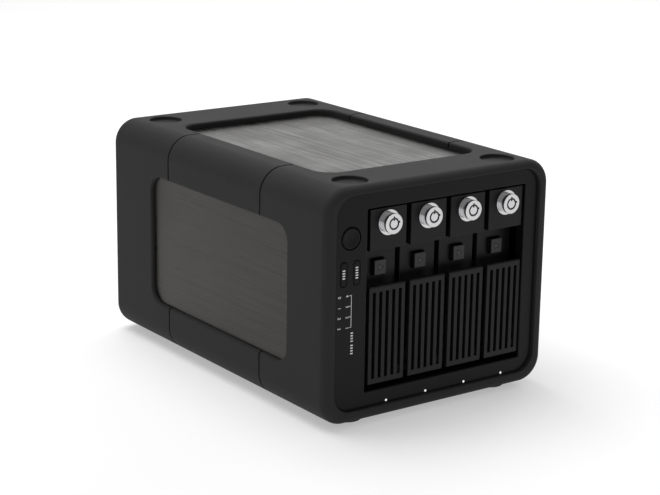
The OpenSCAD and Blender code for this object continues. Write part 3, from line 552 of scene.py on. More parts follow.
def edgeFillet(radius, k):
    # Inset and depth of step k, from the wall up to the surface
    angle = math.radians(90 * k / roundSteps)
    return radius * (1 - math.cos(angle)), radius * (1 - math.sin(angle))


def insideLoops(point, loops):
    crossings = 0
    for loop in loops:
        for a, b in zip(loop, loop[1:] + loop[:1]):
            if (a[1] > point[1]) != (b[1] > point[1]):
                if point[0] < a[0] + (point[1] - a[1]) / (b[1] - a[1]) * (b[0] - a[0]):
                    crossings += 1
    return crossings % 2 == 1


def filled(loops, lines=()):
    # Triangles that fill the loops, which may hold holes and cross lines
    points, edges = [], []
    for loop in loops:
        first = len(points)
        points += [Vector(p[:2]) for p in loop]
        edges += [(first + i, first + (i + 1) % len(loop)) for i in range(len(loop))]
    for a, b in lines:
        edges.append((len(points), len(points) + 1))
        points += [Vector(a), Vector(b)]
    verts, _, faces, *_ = delaunay_2d_cdt(points, edges, [], 0, 1e-6)
    flat = [[p[:2] for p in loop] for loop in loops]
    kept = [f for f in faces if insideLoops(sum((verts[i] for i in f), Vector((0, 0))) / len(f), flat)]
    return verts, kept


class Shell:
    # Gathers faces in mm by their corners' places
    def __init__(self):
        self.mesh = bmesh.new()

    def face(self, corners):
        places = [Vector(c) for c in corners]
        kept = [p for i, p in enumerate(places) if (p - places[i - 1]).length > 1e-4]
        if len(kept) > 2:
            self.mesh.faces.new([self.mesh.verts.new(p) for p in kept])

    def strip(self, first, second, closed=False):
        count = len(first) if closed else len(first) - 1
        for i in range(count):
            j = (i + 1) % len(first)
            self.face((first[i], first[j], second[j], second[i]))

    def cap(self, loops, place, lines=()):
        verts, faces = filled(loops, lines)
        for f in faces:
            self.face([place(verts[i]) for i in f])

    def piece(self, name, sharpAngle=50):
        bmesh.ops.remove_doubles(self.mesh, verts=self.mesh.verts, dist=0.0015)
        bmesh.ops.recalc_face_normals(self.mesh, faces=self.mesh.faces)
        for face in self.mesh.faces:
            face.smooth = True
        made = finishMesh(self.mesh, name)
        made.data.set_sharp_from_angle(angle=math.radians(sharpAngle))
        weighted = made.modifiers.new("evenNormals", "WEIGHTED_NORMAL")
        weighted.keep_sharp = True
        applyModifiers(made)
        return made


def roundBoxDistance(point):
    # Distance from the lip's opening, negative inside it
    low, high = boxOf("front_bumper")
    r = skinSizes["lipCorner"]
    x1, z0, z1 = high.x - skinSizes["lipSide"], skinSizes["lipSide"], high.z - skinSizes["lipTop"]
    dx = abs(point.x) - x1 + r
    dz = abs(point.y - (z0 + z1) / 2) - (z1 - z0) / 2 + r
    return math.hypot(max(dx, 0), max(dz, 0)) + min(max(dx, dz), 0) - r


def lipWidth(s):
    point, normal = section.at(s)
    width = 0.0
    for _ in range(60):
        width += roundBoxDistance(point - normal * width)
    return width


def lipProfile(width, fillet):
    # (inset, y) from the skin's surface over the lip to the back of its opening
    e, depth = skinSizes["lipRound"], skinSizes["lipDepth"]

    def height(inset):
        return fillet - math.sqrt(max(fillet ** 2 - (fillet - min(inset, fillet)) ** 2, 0))

    last = math.acos(1 - min(1, (width - e) / fillet))
    steps = 10
    points = []
    for i in range(steps + 1):
        angle = last * i / steps
        points.append((fillet * (1 - math.cos(angle)), fillet * (1 - math.sin(angle))))
    first, corner, end = (width - e, height(width - e)), (width, height(width)), (width, height(width) + e)
    points.append(first)
    for i in range(1, 6):
        t = i / 5
        points.append(tuple((1 - t) ** 2 * p + 2 * t * (1 - t) * c + t * t * q
                            for p, c, q in zip(first, corner, end)))
    return points + [(width, depth)]


def bumper(name, node, fillet, fromBack):
    # A bumper with its rolled lip, its window notches and its stacking recesses
    low, high = boxOf(node)
    bodyBack = boxOf("rear_bumper")[1].y
    seam = (bodyBack - low.y if fromBack else high.y) - skinSizes["seamOpen"]
    recess = skinSizes["recessRear" if fromBack else "recessFront"]
    spans = windowSpans()

    def turned(place):
        return Vector((place.x, bodyBack - place.y, place.z)) if fromBack else place

    def rearLine(k):
        # Seam edge with its notches at fillet step k: (s, y, depth)
        gw, dw = edgeFillet(skinSizes["windowRound"], k)
        gs, ds = edgeFillet(skinSizes["seamRound"], k)
        line, s = [], 0.0
        ends = [(0.0, None)] + [(span[1], span) for span in spans]
        for i, (begin, _) in enumerate(ends):
            stop = spans[i][0] if i < len(spans) else section.length
            ease = skinSizes["notchEase"]
            first = begin + (ease if i else 0)
            second = stop - (ease if i < len(spans) else 0)
            line += [(s, seam - gs, ds) for s in section.stations(first, second)]
            if i < len(spans):
                s0, s1, front, rear, r = spans[i]
                edge = bodyBack - rear if fromBack else front
                line.append((s0 - gw, seam - gs, dw))
                for centre, begin_ in ((s0 + r, 180), (s1 - r, 270)):
                    for j in range(9):
                        angle = math.radians(begin_ + 90 * j / 8)
                        line.append((centre + (r + gw) * math.cos(angle),
                                     edge + r + (r + gw) * math.sin(angle), dw))
                line.append((s1 + gw, seam - gs, dw))
        return line

    shell = Shell()
    lines = [rearLine(k) for k in range(roundSteps + 1)]
    for a, b in zip(lines, lines[1:]):
        shell.strip([turned(wrapped(*p)) for p in a], [turned(wrapped(*p)) for p in b])
    inner = [(s, y, innerDepth(s)) for s, y, _ in lines[0]]
    shell.strip([turned(wrapped(*p)) for p in lines[0]], [turned(wrapped(*p)) for p in inner])

    stations = section.stations(0.0, section.length)
    near = []
    for begin, end in section.corners():
        near += [begin - d for d in (2, 4, 6, 8)] + [end + d for d in (2, 4, 6, 8)]
    stations = sorted(set(stations) | {s for s in near if 0 < s < section.length})
    cornerLines = [s for begin, end in section.corners()
                   for s in section.stations(begin, end)]
    top = section.starts[4]
    holes = []
    centres = [(top + section.runs[4][0][0] - x, recess)
               for x in (skinSizes["recessPitch"], -skinSizes["recessPitch"])]

    def circle(centre, radius):
        return [(centre[0] + radius * math.cos(math.radians(a)),
                 centre[1] + radius * math.sin(math.radians(a)))
                for a in range(0, 360, 6)]

    rim = skinSizes["recessRim"]
    for centre in centres:
        rings = [(skinSizes["recessRadius"] + edgeFillet(rim, k)[0], edgeFillet(rim, k)[1])
                 for k in range(roundSteps, -1, -1)]
        rings += [(skinSizes["recessRadius"], skinSizes["recessDepth"] - 0.5),
                  (skinSizes["recessRadius"] - 0.5, skinSizes["recessDepth"]),
                  (skinSizes["recessRadius"] - 3, skinSizes["recessDepth"])]
        placed = [[turned(wrapped(s, y, depth)) for s, y in circle(centre, radius)]
                  for radius, depth in rings]
        for a, b in zip(placed, placed[1:]):
            shell.strip(a, b, closed=True)
        shell.face(placed[-1])
        holes.append(circle(centre, rings[0][0]))

    last = lines[-1]
    outer = [(s, fillet) for s in stations] + [(s, y) for s, y, _ in reversed(last)]
    shell.cap([outer] + holes, lambda p: turned(wrapped(min(max(p.x, 0), section.length), p.y, 0)),
              [((s, fillet), (s, last[0][1])) for s in cornerLines])
    lip = skinSizes["lipDepth"]
    hidden = [(s, lip) for s in stations] + [(s, y) for s, y, _ in reversed(inner)]
    shell.cap([hidden], lambda p: turned(wrapped(min(max(p.x, 0), section.length), p.y, innerDepth(p.x))),
              [((s, lip), (s, inner[0][1])) for s in cornerLines])
    rows = []
    for s in stations:
        profile = lipProfile(lipWidth(s), fillet)
        rows.append([turned(wrapped(s, y, inset)) for inset, y in profile]
                    + [turned(wrapped(s, lip, innerDepth(s)))])
    for a, b in zip(rows, rows[1:]):
        shell.strip(a, b)
    return shell.piece(name)


def rail(name, node, spanPair):
    # A corner rail between two windows
    low, high = boxOf(node)
    s0, s1 = spanPair
    sides, rounds = [], skinSizes["windowRound"]
    for k in range(roundSteps + 1):
        inset, depth = edgeFillet(rounds, k)
        sides.append((inset, depth))
    along = [(s0 + i, d) for i, d in sides]
    along += [(s, 0.0) for s in section.stations(s0 + rounds, s1 - rounds)[1:-1]]
    along += [(s1 - i, d) for i, d in reversed(sides)]
    seams = [edgeFillet(skinSizes["seamRound"], k) for k in range(roundSteps + 1)]
    first, last = low.y + skinSizes["seamOpen"], high.y - skinSizes["seamOpen"]
    back = [(first + i, d) for i, d in seams] + [(last - i, d) for i, d in reversed(seams)]
    length = section.length

    def place(s, y, depth):
        return wrapped(s % length, y, depth)

    shell = Shell()
    outer = [[place(s, y, max(ds, dy)) for y, dy in back] for s, ds in along]
    inner = [[place(s, y, innerDepth(s % length)) for y, _ in back] for s, _ in along]
    for a, b in zip(outer, outer[1:]):
        shell.strip(a, b)
    for a, b in zip(inner, inner[1:]):
        shell.strip(a, b)
    shell.strip(outer[0], inner[0])
    shell.strip(outer[-1], inner[-1])
    shell.strip([row[0] for row in outer], [row[0] for row in inner])
    shell.strip([row[-1] for row in outer], [row[-1] for row in inner])
    return shell.piece(name)


rightSpan, topSpan, leftSpan, bottomSpan = windowSpans()
dress(bumper("frontBumper", "front_bumper", skinSizes["frontFillet"], False), "bumper_rubber", "enclosure",
      ["front_bumper"])
dress(bumper("rearBumper", "rear_bumper", skinSizes["rearFillet"], True), "bumper_rubber", "enclosure",
      ["rear_bumper"])
for railNode, railName, railSpan in (
        ("edge_rail_top_right", "topRightRail", (rightSpan[1], topSpan[0])),
        ("edge_rail_top_left", "topLeftRail", (topSpan[1], leftSpan[0])),
        ("edge_rail_bottom_left", "bottomLeftRail", (leftSpan[1], bottomSpan[0])),
        ("edge_rail_bottom_right", "bottomRightRail", (bottomSpan[1] - section.length, rightSpan[0]))):
    dress(rail(railName, railNode, railSpan), "bumper_rubber", "enclosure", [railNode])


# Flat outlines: ("box", x0, z0, x1, z1, corner radius) or ("disc", x, z, radius)
def outlineOf(shape, grow=0.0):
    kind, *sizes = shape
    if kind == "disc":
        x, z, radius = sizes
        count = 64 if radius > 10 else 40
        return [(x + (radius + grow) * math.cos(2 * math.pi * i / count),
                 z + (radius + grow) * math.sin(2 * math.pi * i / count)) for i in range(count)]
    x0, z0, x1, z1, r = sizes
    points = []
    for cx, cz, start in ((x1 - r, z1 - r, 0), (x0 + r, z1 - r, 90),
                          (x0 + r, z0 + r, 180), (x1 - r, z0 + r, 270)):
        for i in range(9):
            angle = math.radians(start + 90 * i / 8)
            points.append((cx + (r + grow) * math.cos(angle), cz + (r + grow) * math.sin(angle)))
    return points


def plate(shell, outer, holes, front, back, rounding):
    # A plate in the x-z plane whose front edges are rounded; holes are outlines or (outline, radius)
    way = 1 if back > front else -1
    loops = [(outer, -1, rounding)]
    for hole in holes:
        loops.append((hole[0], 1, hole[1]) if isinstance(hole[0], tuple) else (hole, 1, rounding))
    tops, bottoms = [], []
    for shape, side, radius in loops:
        rings = []
        for k in range(roundSteps + 1):
            inset, depth = edgeFillet(radius, k)
            rings.append([(x, front + way * depth, z) for x, z in outlineOf(shape, side * inset)])
        rings.insert(0, [(x, back, z) for x, z in outlineOf(shape)])
        for a, b in zip(rings, rings[1:]):
            shell.strip(a, b, closed=True)
        tops.append([(x, z) for x, _, z in rings[-1]])
        bottoms.append([(x, z) for x, _, z in rings[0]])
    shell.cap(tops, lambda p: (p.x, front, p.y))
    shell.cap(bottoms, lambda p: (p.x, back, p.y))


def lathe(shell, profile, centre, axis="y", steps=48):
    # Turns (radius, place along the axis) round an axis through centre
    rows = []
    for i in range(steps):
        angle = 2 * math.pi * i / steps
        c, s = math.cos(angle), math.sin(angle)
        rows.append([(centre[0] + r * c, h, centre[1] + r * s) if axis == "y"
                     else (centre[0] + r * c, centre[1] + r * s, h) for r, h in profile])
    for a, b in zip(rows, rows[1:] + rows[:1]):
        shell.strip(a, b)


print("bezel and buttons")
bezelSizes = {"gap": 0.4, "face": 2.5, "wall": 2.5, "back": 9.5, "rounding": 0.2, "bayRounding": 0.7,
              "bayLeft": 3, "bayRight": 0.8, "bayLow": 3.2, "bayTop": 1, "fit": 0.25, "lightHeight": 9.3,
              "lightHole": 0.78, "pocketWall": 2.4, "chassisCorner": 12.5}


def bodyRight():
    return boxOf("front_bumper")[1].x


def lipOutline(gap):
    right, top = bodyRight() - skinSizes["lipSide"], boxOf("front_bumper")[1].z - skinSizes["lipTop"]
    return ("box", gap - right, skinSizes["lipSide"] + gap, right - gap, top - gap,
            skinSizes["lipCorner"] - gap)


def pillOutline(node, grow):
    middle = middleOf(node)
    return ("box", middle.x - pillSizes["halfWide"] - grow, middle.z - pillSizes["halfHigh"] - grow,
            middle.x + pillSizes["halfWide"] + grow, middle.z + pillSizes["halfHigh"] + grow,
            pillSizes["halfWide"] + grow)


pillSizes = {"halfWide": 2.4, "halfHigh": 7.7, "flange": 1.1, "capBack": 5.3, "flangeBack": 6.3, "stem": 1.2}


def makeBezel():
    b = bezelSizes
    first, last = boxOf("tray_1_front"), boxOf("tray_4_front")
    bay = ("box", first[0].x - b["bayLeft"], first[0].z - b["bayLow"], last[1].x + b["bayRight"],
           first[1].z + b["bayTop"], 0.5)
    power = middleOf("power_button")
    outer = lipOutline(b["gap"])
    holes = [(bay, b["bayRounding"]), ("disc", power.x, power.z, 7 + b["fit"])]
    holes += [pillOutline(node, b["fit"]) for node in ("fan_button", "mode_button")]
    holes += [(("disc", middleOf(f"tray_{n}_front").x, b["lightHeight"], b["lightHole"]), 0.05)
              for n in trayNumbers]
    shell = Shell()
    wallBack = b["face"] + b["wall"]
    plate(shell, outer, holes, b["face"], wallBack, b["rounding"])
    pocket = ("box", outer[1] + b["pocketWall"], 45.4, bay[1] - b["pocketWall"], power.z + 19, 0.5)
    lights = holes[4:]
    plate(shell, outer, [(bay, 0.01), (pocket, 0.01)] + lights, wallBack, b["back"], 0.01)
    chassis = boxOf("rear_panel")
    flange = ("box", chassis[0].x, chassis[0].z, chassis[1].x, chassis[1].z, b["chassisCorner"])
    plate(shell, flange, [(lipOutline(b["gap"] + 0.02), 0.01)], skinSizes["lipDepth"] + 0.01, b["back"], 0.01)
    return shell.piece("frontBezel", 40)


dress(makeBezel(), "bezel_plastic", "enclosure", ["front_bezel"])


def makePowerButton():
    low, high = boxOf("power_button")
    centre = ((low.x + high.x) / 2, (low.z + high.z) / 2)
    y = low.y
    shell = Shell()
    lathe(shell, [(0, y + 0.48), (2.5, y + 0.42), (4.3, y + 0.22), (5.4, y + 0.03), (5.8, y), (6.2, y + 0.08),
                  (6.5, y + 0.3), (6.6, y + 0.7), (6.6, 5.3), (8.1, 5.3), (8.1, 6.3), (1.2, 6.3),
                  (1.2, high.y), (0, high.y)], centre, steps=72)
    return shell.piece("powerButton", 40)


def makePill(node, name):
    low, high = boxOf(node)
    p = pillSizes
    shell = Shell()
    plate(shell, pillOutline(node, 0), [], low.y, p["capBack"], 0.7)
    plate(shell, pillOutline(node, p["flange"]), [], p["capBack"] + 0.005, p["flangeBack"], 0.1)
    middle = middleOf(node)
    lathe(shell, [(0, p["flangeBack"] + 0.005), (p["stem"], p["flangeBack"] + 0.005), (p["stem"], high.y),
                  (0, high.y)], (middle.x, middle.z), steps=24)
    return shell.piece(name, 40)


dress(makePowerButton(), "button_plastic", "power_button_cap", ["power_button"])
dress(makePill("fan_button", "fanButton"), "button_plastic", "fan_button_cap", ["fan_button"])
dress(makePill("mode_button", "modeButton"), "button_plastic", "mode_button_cap", ["mode_button"])


# Node trees that repeat a part: each takes the points it stands on and named sizes in metres
def grown(name, points, inputs, build, material):
    mesh = bpy.data.meshes.new(name)
    mesh.from_pydata([toMetres @ Vector(p) for p in points], [], [])
    piece = bpy.data.objects.new(name, mesh)
    scene.collection.objects.link(piece)
    group = bpy.data.node_groups.new(name + "Tree", "GeometryNodeTree")
    interface = group.interface
    interface.new_socket("Geometry", in_out="INPUT", socket_type="NodeSocketGeometry")
    for label, value in inputs.items():
        kind = "NodeSocketInt" if isinstance(value, int) else "NodeSocketFloat"
        interface.new_socket(label, in_out="INPUT", socket_type=kind)
    interface.new_socket("Geometry", in_out="OUTPUT", socket_type="NodeSocketGeometry")
    tree = Tree(group)
    start = group.nodes.new("NodeGroupInput")
    sizes = {label: Signal(tree, start.outputs[label]) for label in ["Geometry", *inputs]}
    made = build(tree, sizes)
    made = tree.add("GeometryNodeRealizeInstances", values={"Geometry": made})
    made = tree.add("GeometryNodeSetMaterial", values={"Geometry": made, "Material": material})
    end = group.nodes.new("NodeGroupOutput")
    tree.feed(end, {0: made})
    modifier = piece.modifiers.new("grow", "NODES")
    modifier.node_group = group
    for item in interface.items_tree:
        if item.in_out == "INPUT" and item.name in inputs:
            modifier[item.identifier] = inputs[item.name]
    applyModifiers(piece)
    piece.data.set_sharp_from_angle(angle=math.radians(40))
    return piece


def vector(tree, x=0.0, y=0.0, z=0.0):
    return tree.add("ShaderNodeCombineXYZ", values={"X": x, "Y": y, "Z": z})


def onPoints(tree, points, instance, values=None):
    return tree.add("GeometryNodeInstanceOnPoints", values={
        "Points": points, "Instance": instance, **(values or {})})


def copies(tree, count, pitch):
    # Points in a row, pitch apart
    return tree.add("GeometryNodeMeshLine", {"mode": "OFFSET"}, {"Count": count, "Offset": pitch})


def linked(into, key, parts):
    # Feeds several parts to one socket
    for part in parts:
        into.tree.nodeTree.links.new(part.socket, into.socket.node.inputs[key])
    return into


def ownPlace(tree):
    # A point's own x, y and z
    split = tree.add("ShaderNodeSeparateXYZ", values={"Vector": tree.add("GeometryNodeInputPosition")})
    return [Signal(tree, output) for output in split.socket.node.outputs]


def tickScale(tree, sizes):
    tick = tree.add("GeometryNodeMeshCube", values={
        "Size": vector(tree, sizes["Tick Length"], sizes["Ink Depth"], sizes["Line Width"])})
    step = vector(tree, 0.0, 0.0, 0 - sizes["Pitch"])
    row = onPoints(tree, copies(tree, sizes["Count"], step), tick)
    length = sizes["Pitch"] * (sizes["Count"] - 1)
    spine = tree.add("GeometryNodeMeshCube", values={
        "Size": vector(tree, sizes["Line Width"], sizes["Ink Depth"], length + sizes["Line Width"])})
    spine = tree.add("GeometryNodeTransform", values={
        "Geometry": spine, "Translation": vector(tree, sizes["Tick Length"] * 0.5, 0.0, length * -0.5)})
    joined = linked(tree.add("GeometryNodeJoinGeometry"), 0, (row, spine))
    return onPoints(tree, sizes["Geometry"], joined)


def barRow(tree, sizes):
    bar = tree.add("GeometryNodeMeshCube", values={
        "Size": vector(tree, sizes["Bar Width"], sizes["Ink Depth"], sizes["Bar Length"])})
    step = vector(tree, 0.0, 0.0, 0 - sizes["Pitch"])
    return onPoints(tree, sizes["Geometry"], onPoints(tree, copies(tree, sizes["Count"], step), bar))


print("legends")
legend = {"scale": (-67.3, 81.2), "scalePitch": 6.67, "tick": 1.5, "line": 0.32, "ink": 0.06,
          "digitSize": 3.1, "fanDigits": (("0", 81.0), ("1", 74.3), ("2", 68.0), ("3", 61.6)),
          "fanColumn": -75.5, "scaleColumn": -69.6}
ink = finishes["legendInk"]
inkFace = bezelSizes["face"] - 0.01


def asLegend(piece, body):
    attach(piece, body)
    return piece


asLegend(grown("scaleMarks", [(legend["scale"][0], inkFace, legend["scale"][1])], {
    "Count": 4, "Pitch": legend["scalePitch"] * mm, "Tick Length": legend["tick"] * mm,
    "Line Width": legend["line"] * mm, "Ink Depth": legend["ink"] * mm}, tickScale, ink), "enclosure")
asLegend(grown("lowerMarks", [(-65.8, inkFace, 57.4), (-65.8, inkFace, 49.6)], {
    "Count": 4, "Pitch": 1.7 * mm, "Bar Width": 1.8 * mm, "Bar Length": 0.75 * mm,
    "Ink Depth": legend["ink"] * mm}, barRow, ink), "enclosure")
for button, body, count, label in (("fan_button", "fan_button_cap", 4, "fanMarks"),
                                   ("mode_button", "mode_button_cap", 5, "modeMarks")):
    middle = middleOf(button)
    asLegend(grown(label, [(middle.x, boxOf(button)[0].y + 0.02, middle.z + (count - 1) * 0.8)], {
        "Count": count, "Pitch": 1.6 * mm, "Bar Width": 1.9 * mm, "Bar Length": 0.8 * mm,
        "Ink Depth": legend["ink"] * mm}, barRow, ink), body)


def digits(name, places):
    joined = bmesh.new()
    for text, x, z in places:
        curve = bpy.data.curves.new("digit", "FONT")
        curve.body, curve.size, curve.extrude = text, legend["digitSize"], legend["ink"] / 2
        curve.align_x, curve.align_y = "CENTER", "CENTER"
        shape = bpy.data.objects.new("digit", curve)
        scene.collection.objects.link(shape)
        flat = bpy.data.meshes.new_from_object(shape.evaluated_get(bpy.context.evaluated_depsgraph_get()))
        flat.transform(Matrix.Translation((x, inkFace, z)) @ Euler((math.radians(90), 0, 0)).to_matrix().to_4x4()
                       @ Euler((0, 0, math.radians(-90))).to_matrix().to_4x4())
        joined.from_mesh(flat)
        bpy.data.objects.remove(shape)
    return finishMesh(joined, name)


scaleDigits = [(str(4 - i), legend["scaleColumn"], legend["scale"][1] - i * legend["scalePitch"])
               for i in range(4)]
fanDigits = [(text, legend["fanColumn"], z) for text, z in legend["fanDigits"]]
numbers = digits("bezelDigits", scaleDigits + fanDigits)
numbers.data.materials.clear()
numbers.data.materials.append(ink)
asLegend(numbers, "enclosure")

# Trays and what is on them
print("trays")
frontEdges = {"tray": 0.4, "handle": 0.35, "eject": 0.3, "lock": 0.22, "lockFace": 0.1}
keyway = {"radius": 3.95, "faceDepth": 0.16}
arrow = {"reach": 3.2, "rise": 0.05}


def paintFaces(piece, node, look, chosen):
    # Faces that chosen(distance from the axis, depth behind the front) picks take another finish
    piece.data.materials.append(finishes[look])
    middle, front = middleOf(node), boxOf(node)[0].y
    for face in piece.data.polygons:
        place = (face.center - bodyStart) / mm
        if chosen(math.hypot(place.x - middle.x, place.z - middle.z), place.y - front):
            face.material_index = 1


for number in trayNumbers:
    tray = f"tray_{number}"
    dress(softened(f"{tray}_front", f"trayFront{number}", evenly(frontEdges["tray"])),
          "tray_plastic", tray, [f"{tray}_front"])
    dress(softened(f"{tray}_handle", f"trayHandle{number}", evenly(frontEdges["handle"])),
          "handle_plastic", f"handle_{number}", [f"{tray}_handle"])
    button = dress(softened(f"{tray}_eject_button", f"ejectButton{number}", evenly(frontEdges["eject"])),
                   "eject_plastic", f"eject_button_{number}", [f"{tray}_eject_button"])
    # Painted highlight: the arrow's front faces take the lighter grey that stands in for the light on the embossed
    # arrow
    paintFaces(button, f"{tray}_eject_button", "arrowPaintedHighlight",
               lambda reach, depth: reach < arrow["reach"] and depth < arrow["rise"])
    dress(softened(f"{tray}_lock_body", f"lockBody{number}", evenly(frontEdges["lock"])),
          "lock_chrome", tray, [f"{tray}_lock_body"])
    core = dress(softened(f"{tray}_lock_core", f"lockCore{number}", evenly(frontEdges["lockFace"])),
                 "lock_chrome", f"lock_core_{number}", [f"{tray}_lock_core"])
    # Painted shade: the keyway walls deeper than the core's face take the near-black finish that stands in for the
    # shade in the slot
    paintFaces(core, f"{tray}_lock_core", "keywayPaintedShade",
               lambda reach, depth: reach < keyway["radius"] and depth > keyway["faceDepth"])

# Back: panel, fan, guard, screws and sockets
print("back")
rearSizes = {"vent": 2.2, "ventPitch": 7, "ventColumns": 13, "ventRows": 3, "ventLeft": 8, "ventLow": 13,
             "fanBore": 38, "screwHole": 1.56, "fanHole": 35.75, "hub": 19, "bladeTip": 36.9,
             "headRadius": 3, "guardWire": 0.9, "spoke": 1.1}


def screwPlaces():
    # Seats of the eight rear screws, from their own boxes
    low, high = boxOf("rear_screws")
    face = boxOf("rear_panel")[1].y
    fan = middleOf("fan_guard")
    head = rearSizes["headRadius"]
    chassis = [(x, face, z) for x in (low.x + head, high.x - head) for z in (low.z + head, high.z - head)]
    reach = rearSizes["fanHole"]
    fanScrews = [(fan.x + x, face + 2 * rearSizes["spoke"], fan.z + z) for x in (-reach, reach)
                 for z in (-reach, reach)]
    return chassis, fanScrews


def makeRearPanel():
    low, high = boxOf("rear_panel")
    r, fan = rearSizes, middleOf("fan_guard")
    chassis, fanScrews = screwPlaces()
    holes = [("disc", fan.x, fan.z, r["fanBore"])]
    holes += [("disc", p[0], p[2], r["screwHole"]) for p in chassis + fanScrews]
    inlet, switch = boxOf("power_inlet"), boxOf("switch_frame")
    holes.append(("box", inlet[0].x + 1.9, inlet[0].z + 1.4, inlet[1].x - 1.9, inlet[1].z - 1.4, 0.3))
    holes.append(("box", switch[0].x + 1.1, switch[0].z + 1.1, switch[1].x - 1.1, switch[1].z - 1.1, 0.3))
    for socket, grow in (("network_socket", 0.3), ("usb_socket", 0.6)):
        a, b = boxOf(socket)
        holes.append(("box", a.x - grow, a.z - grow, b.x + 0.3, b.z + grow, 0.3))
    supply = boxOf("power_supply")[0]
    for k in range(r["ventColumns"]):
        for m in range(r["ventRows"]):
            holes.append(("disc", supply.x + r["ventLeft"] + k * r["ventPitch"],
                          supply.z + r["ventLow"] + m * r["ventPitch"], r["vent"]))
    shell = Shell()
    outline = ("box", low.x, low.z, high.x, high.z, bezelSizes["chassisCorner"])
    plate(shell, outline, holes, high.y, low.y, 0.15)
    return shell.piece("rearPanel", 40)


dress(makeRearPanel(), "rear_paint", "enclosure", ["rear_panel"])


def panHead(tree, sizes):
    # Domed head with a cross recess, its seat at the point and its top facing back
    disc = tree.add("GeometryNodeMeshCylinder", values={
        "Vertices": 36, "Radius": sizes["Head Radius"], "Depth": sizes["Head Height"] * 2})
    dome = tree.add("GeometryNodeMeshUVSphere", values={"Segments": 36, "Rings": 18, "Radius": 1.0})
    dome = tree.add("GeometryNodeTransform", values={"Geometry": dome, "Scale": vector(
        tree, sizes["Head Radius"] * 1.12, sizes["Head Radius"] * 1.12, sizes["Head Height"])})
    head = tree.add("GeometryNodeMeshBoolean", {"operation": "INTERSECT"})
    linked(head, "Mesh 2", (disc, dome))
    slot = tree.add("GeometryNodeMeshCube", values={"Size": vector(
        tree, sizes["Recess Width"] * 4.4, sizes["Recess Width"], sizes["Head Height"])})
    lift = vector(tree, 0.0, 0.0, sizes["Head Height"] * 0.95)
    cross = []
    for turn in (0.0, 90.0):
        cross.append(tree.add("GeometryNodeTransform", values={
            "Geometry": slot, "Translation": lift, "Rotation": (0, 0, math.radians(turn + 20))}))
    floor = tree.add("GeometryNodeMeshCube", values={"Size": vector(
        tree, sizes["Head Radius"] * 3, sizes["Head Radius"] * 3, sizes["Head Height"] * 2)})
    floor = tree.add("GeometryNodeTransform", values={
        "Geometry": floor, "Translation": vector(tree, 0.0, 0.0, 0 - sizes["Head Height"])})
    cut = tree.add("GeometryNodeMeshBoolean", {"operation": "DIFFERENCE"}, {"Mesh 1": head})
    linked(cut, "Mesh 2", cross + [floor])
    turned = tree.add("GeometryNodeTransform", values={"Geometry": cut, "Rotation": (math.radians(-90), 0, 0)})
    return onPoints(tree, sizes["Geometry"], turned)


chassisScrews, fanScrews = screwPlaces()
dress(grown("rearScrews", chassisScrews + fanScrews, {
    "Head Radius": rearSizes["headRadius"] * mm, "Head Height": 2 * mm, "Recess Width": 0.8 * mm}, panHead,
    finishes["screw_steel"]), "screw_steel", "enclosure", ["rear_screws"])


def wireGuard(tree, sizes):
    # Rings on a row of points, swept with a round wire, and four arms
    index = tree.add("GeometryNodeInputIndex")
    ring = tree.add("GeometryNodeCurvePrimitiveCircle", {"mode": "RADIUS"}, {"Resolution": 72, "Radius": 1.0})
    size = sizes["First Radius"] + index * sizes["Ring Pitch"]
    rings = onPoints(tree, copies(tree, sizes["Ring Count"], (0, 0, 0)), ring,
                     {"Scale": vector(tree, size, size, size)})
    wire = tree.add("GeometryNodeCurvePrimitiveCircle", {"mode": "RADIUS"}, {
        "Resolution": 10, "Radius": sizes["Wire Radius"]})
    arm = tree.add("GeometryNodeCurvePrimitiveLine", {"mode": "POINTS"}, {
        "Start": vector(tree, sizes["First Radius"]), "End": vector(tree, sizes["Arm Reach"])})
    turn = vector(tree, 0.0, 0.0, index * (math.pi / 2) + math.pi / 4)
    arms = onPoints(tree, copies(tree, sizes["Arm Count"], (0, 0, 0)), arm, {"Rotation": turn})
    eye = tree.add("GeometryNodeCurvePrimitiveCircle", {"mode": "RADIUS"}, {
        "Resolution": 28, "Radius": sizes["Eye Radius"]})
    eye = tree.add("GeometryNodeTransform", values={"Geometry": eye, "Translation": vector(
        tree, sizes["Arm Reach"] + sizes["Eye Radius"])})
    eyes = onPoints(tree, copies(tree, sizes["Arm Count"], (0, 0, 0)), eye, {"Rotation": turn})
    joined = linked(tree.add("GeometryNodeJoinGeometry"), 0, (rings, arms, eyes))
    curves = tree.add("GeometryNodeRealizeInstances", values={"Geometry": joined})
    swept = tree.add("GeometryNodeCurveToMesh", values={
        "Curve": curves, "Profile Curve": wire, "Fill Caps": True})
    flat = tree.add("GeometryNodeTransform", values={"Geometry": swept, "Rotation": (math.radians(90), 0, 0)})
    return onPoints(tree, sizes["Geometry"], flat)


guardMiddle = middleOf("fan_guard")
eyeRadius = 2.45
dress(grown("fanGuard", [(guardMiddle.x, boxOf("fan_guard")[0].y + rearSizes["spoke"], guardMiddle.z)], {
    "Ring Count": 4, "First Radius": 9 * mm, "Ring Pitch": 8 * mm, "Wire Radius": rearSizes["guardWire"] * mm,
    "Arm Count": 4, "Arm Reach": (rearSizes["fanHole"] * math.sqrt(2) - eyeRadius) * mm,
    "Eye Radius": eyeRadius * mm}, wireGuard, finishes["guard_chrome"]), "guard_chrome", "enclosure", ["fan_guard"])


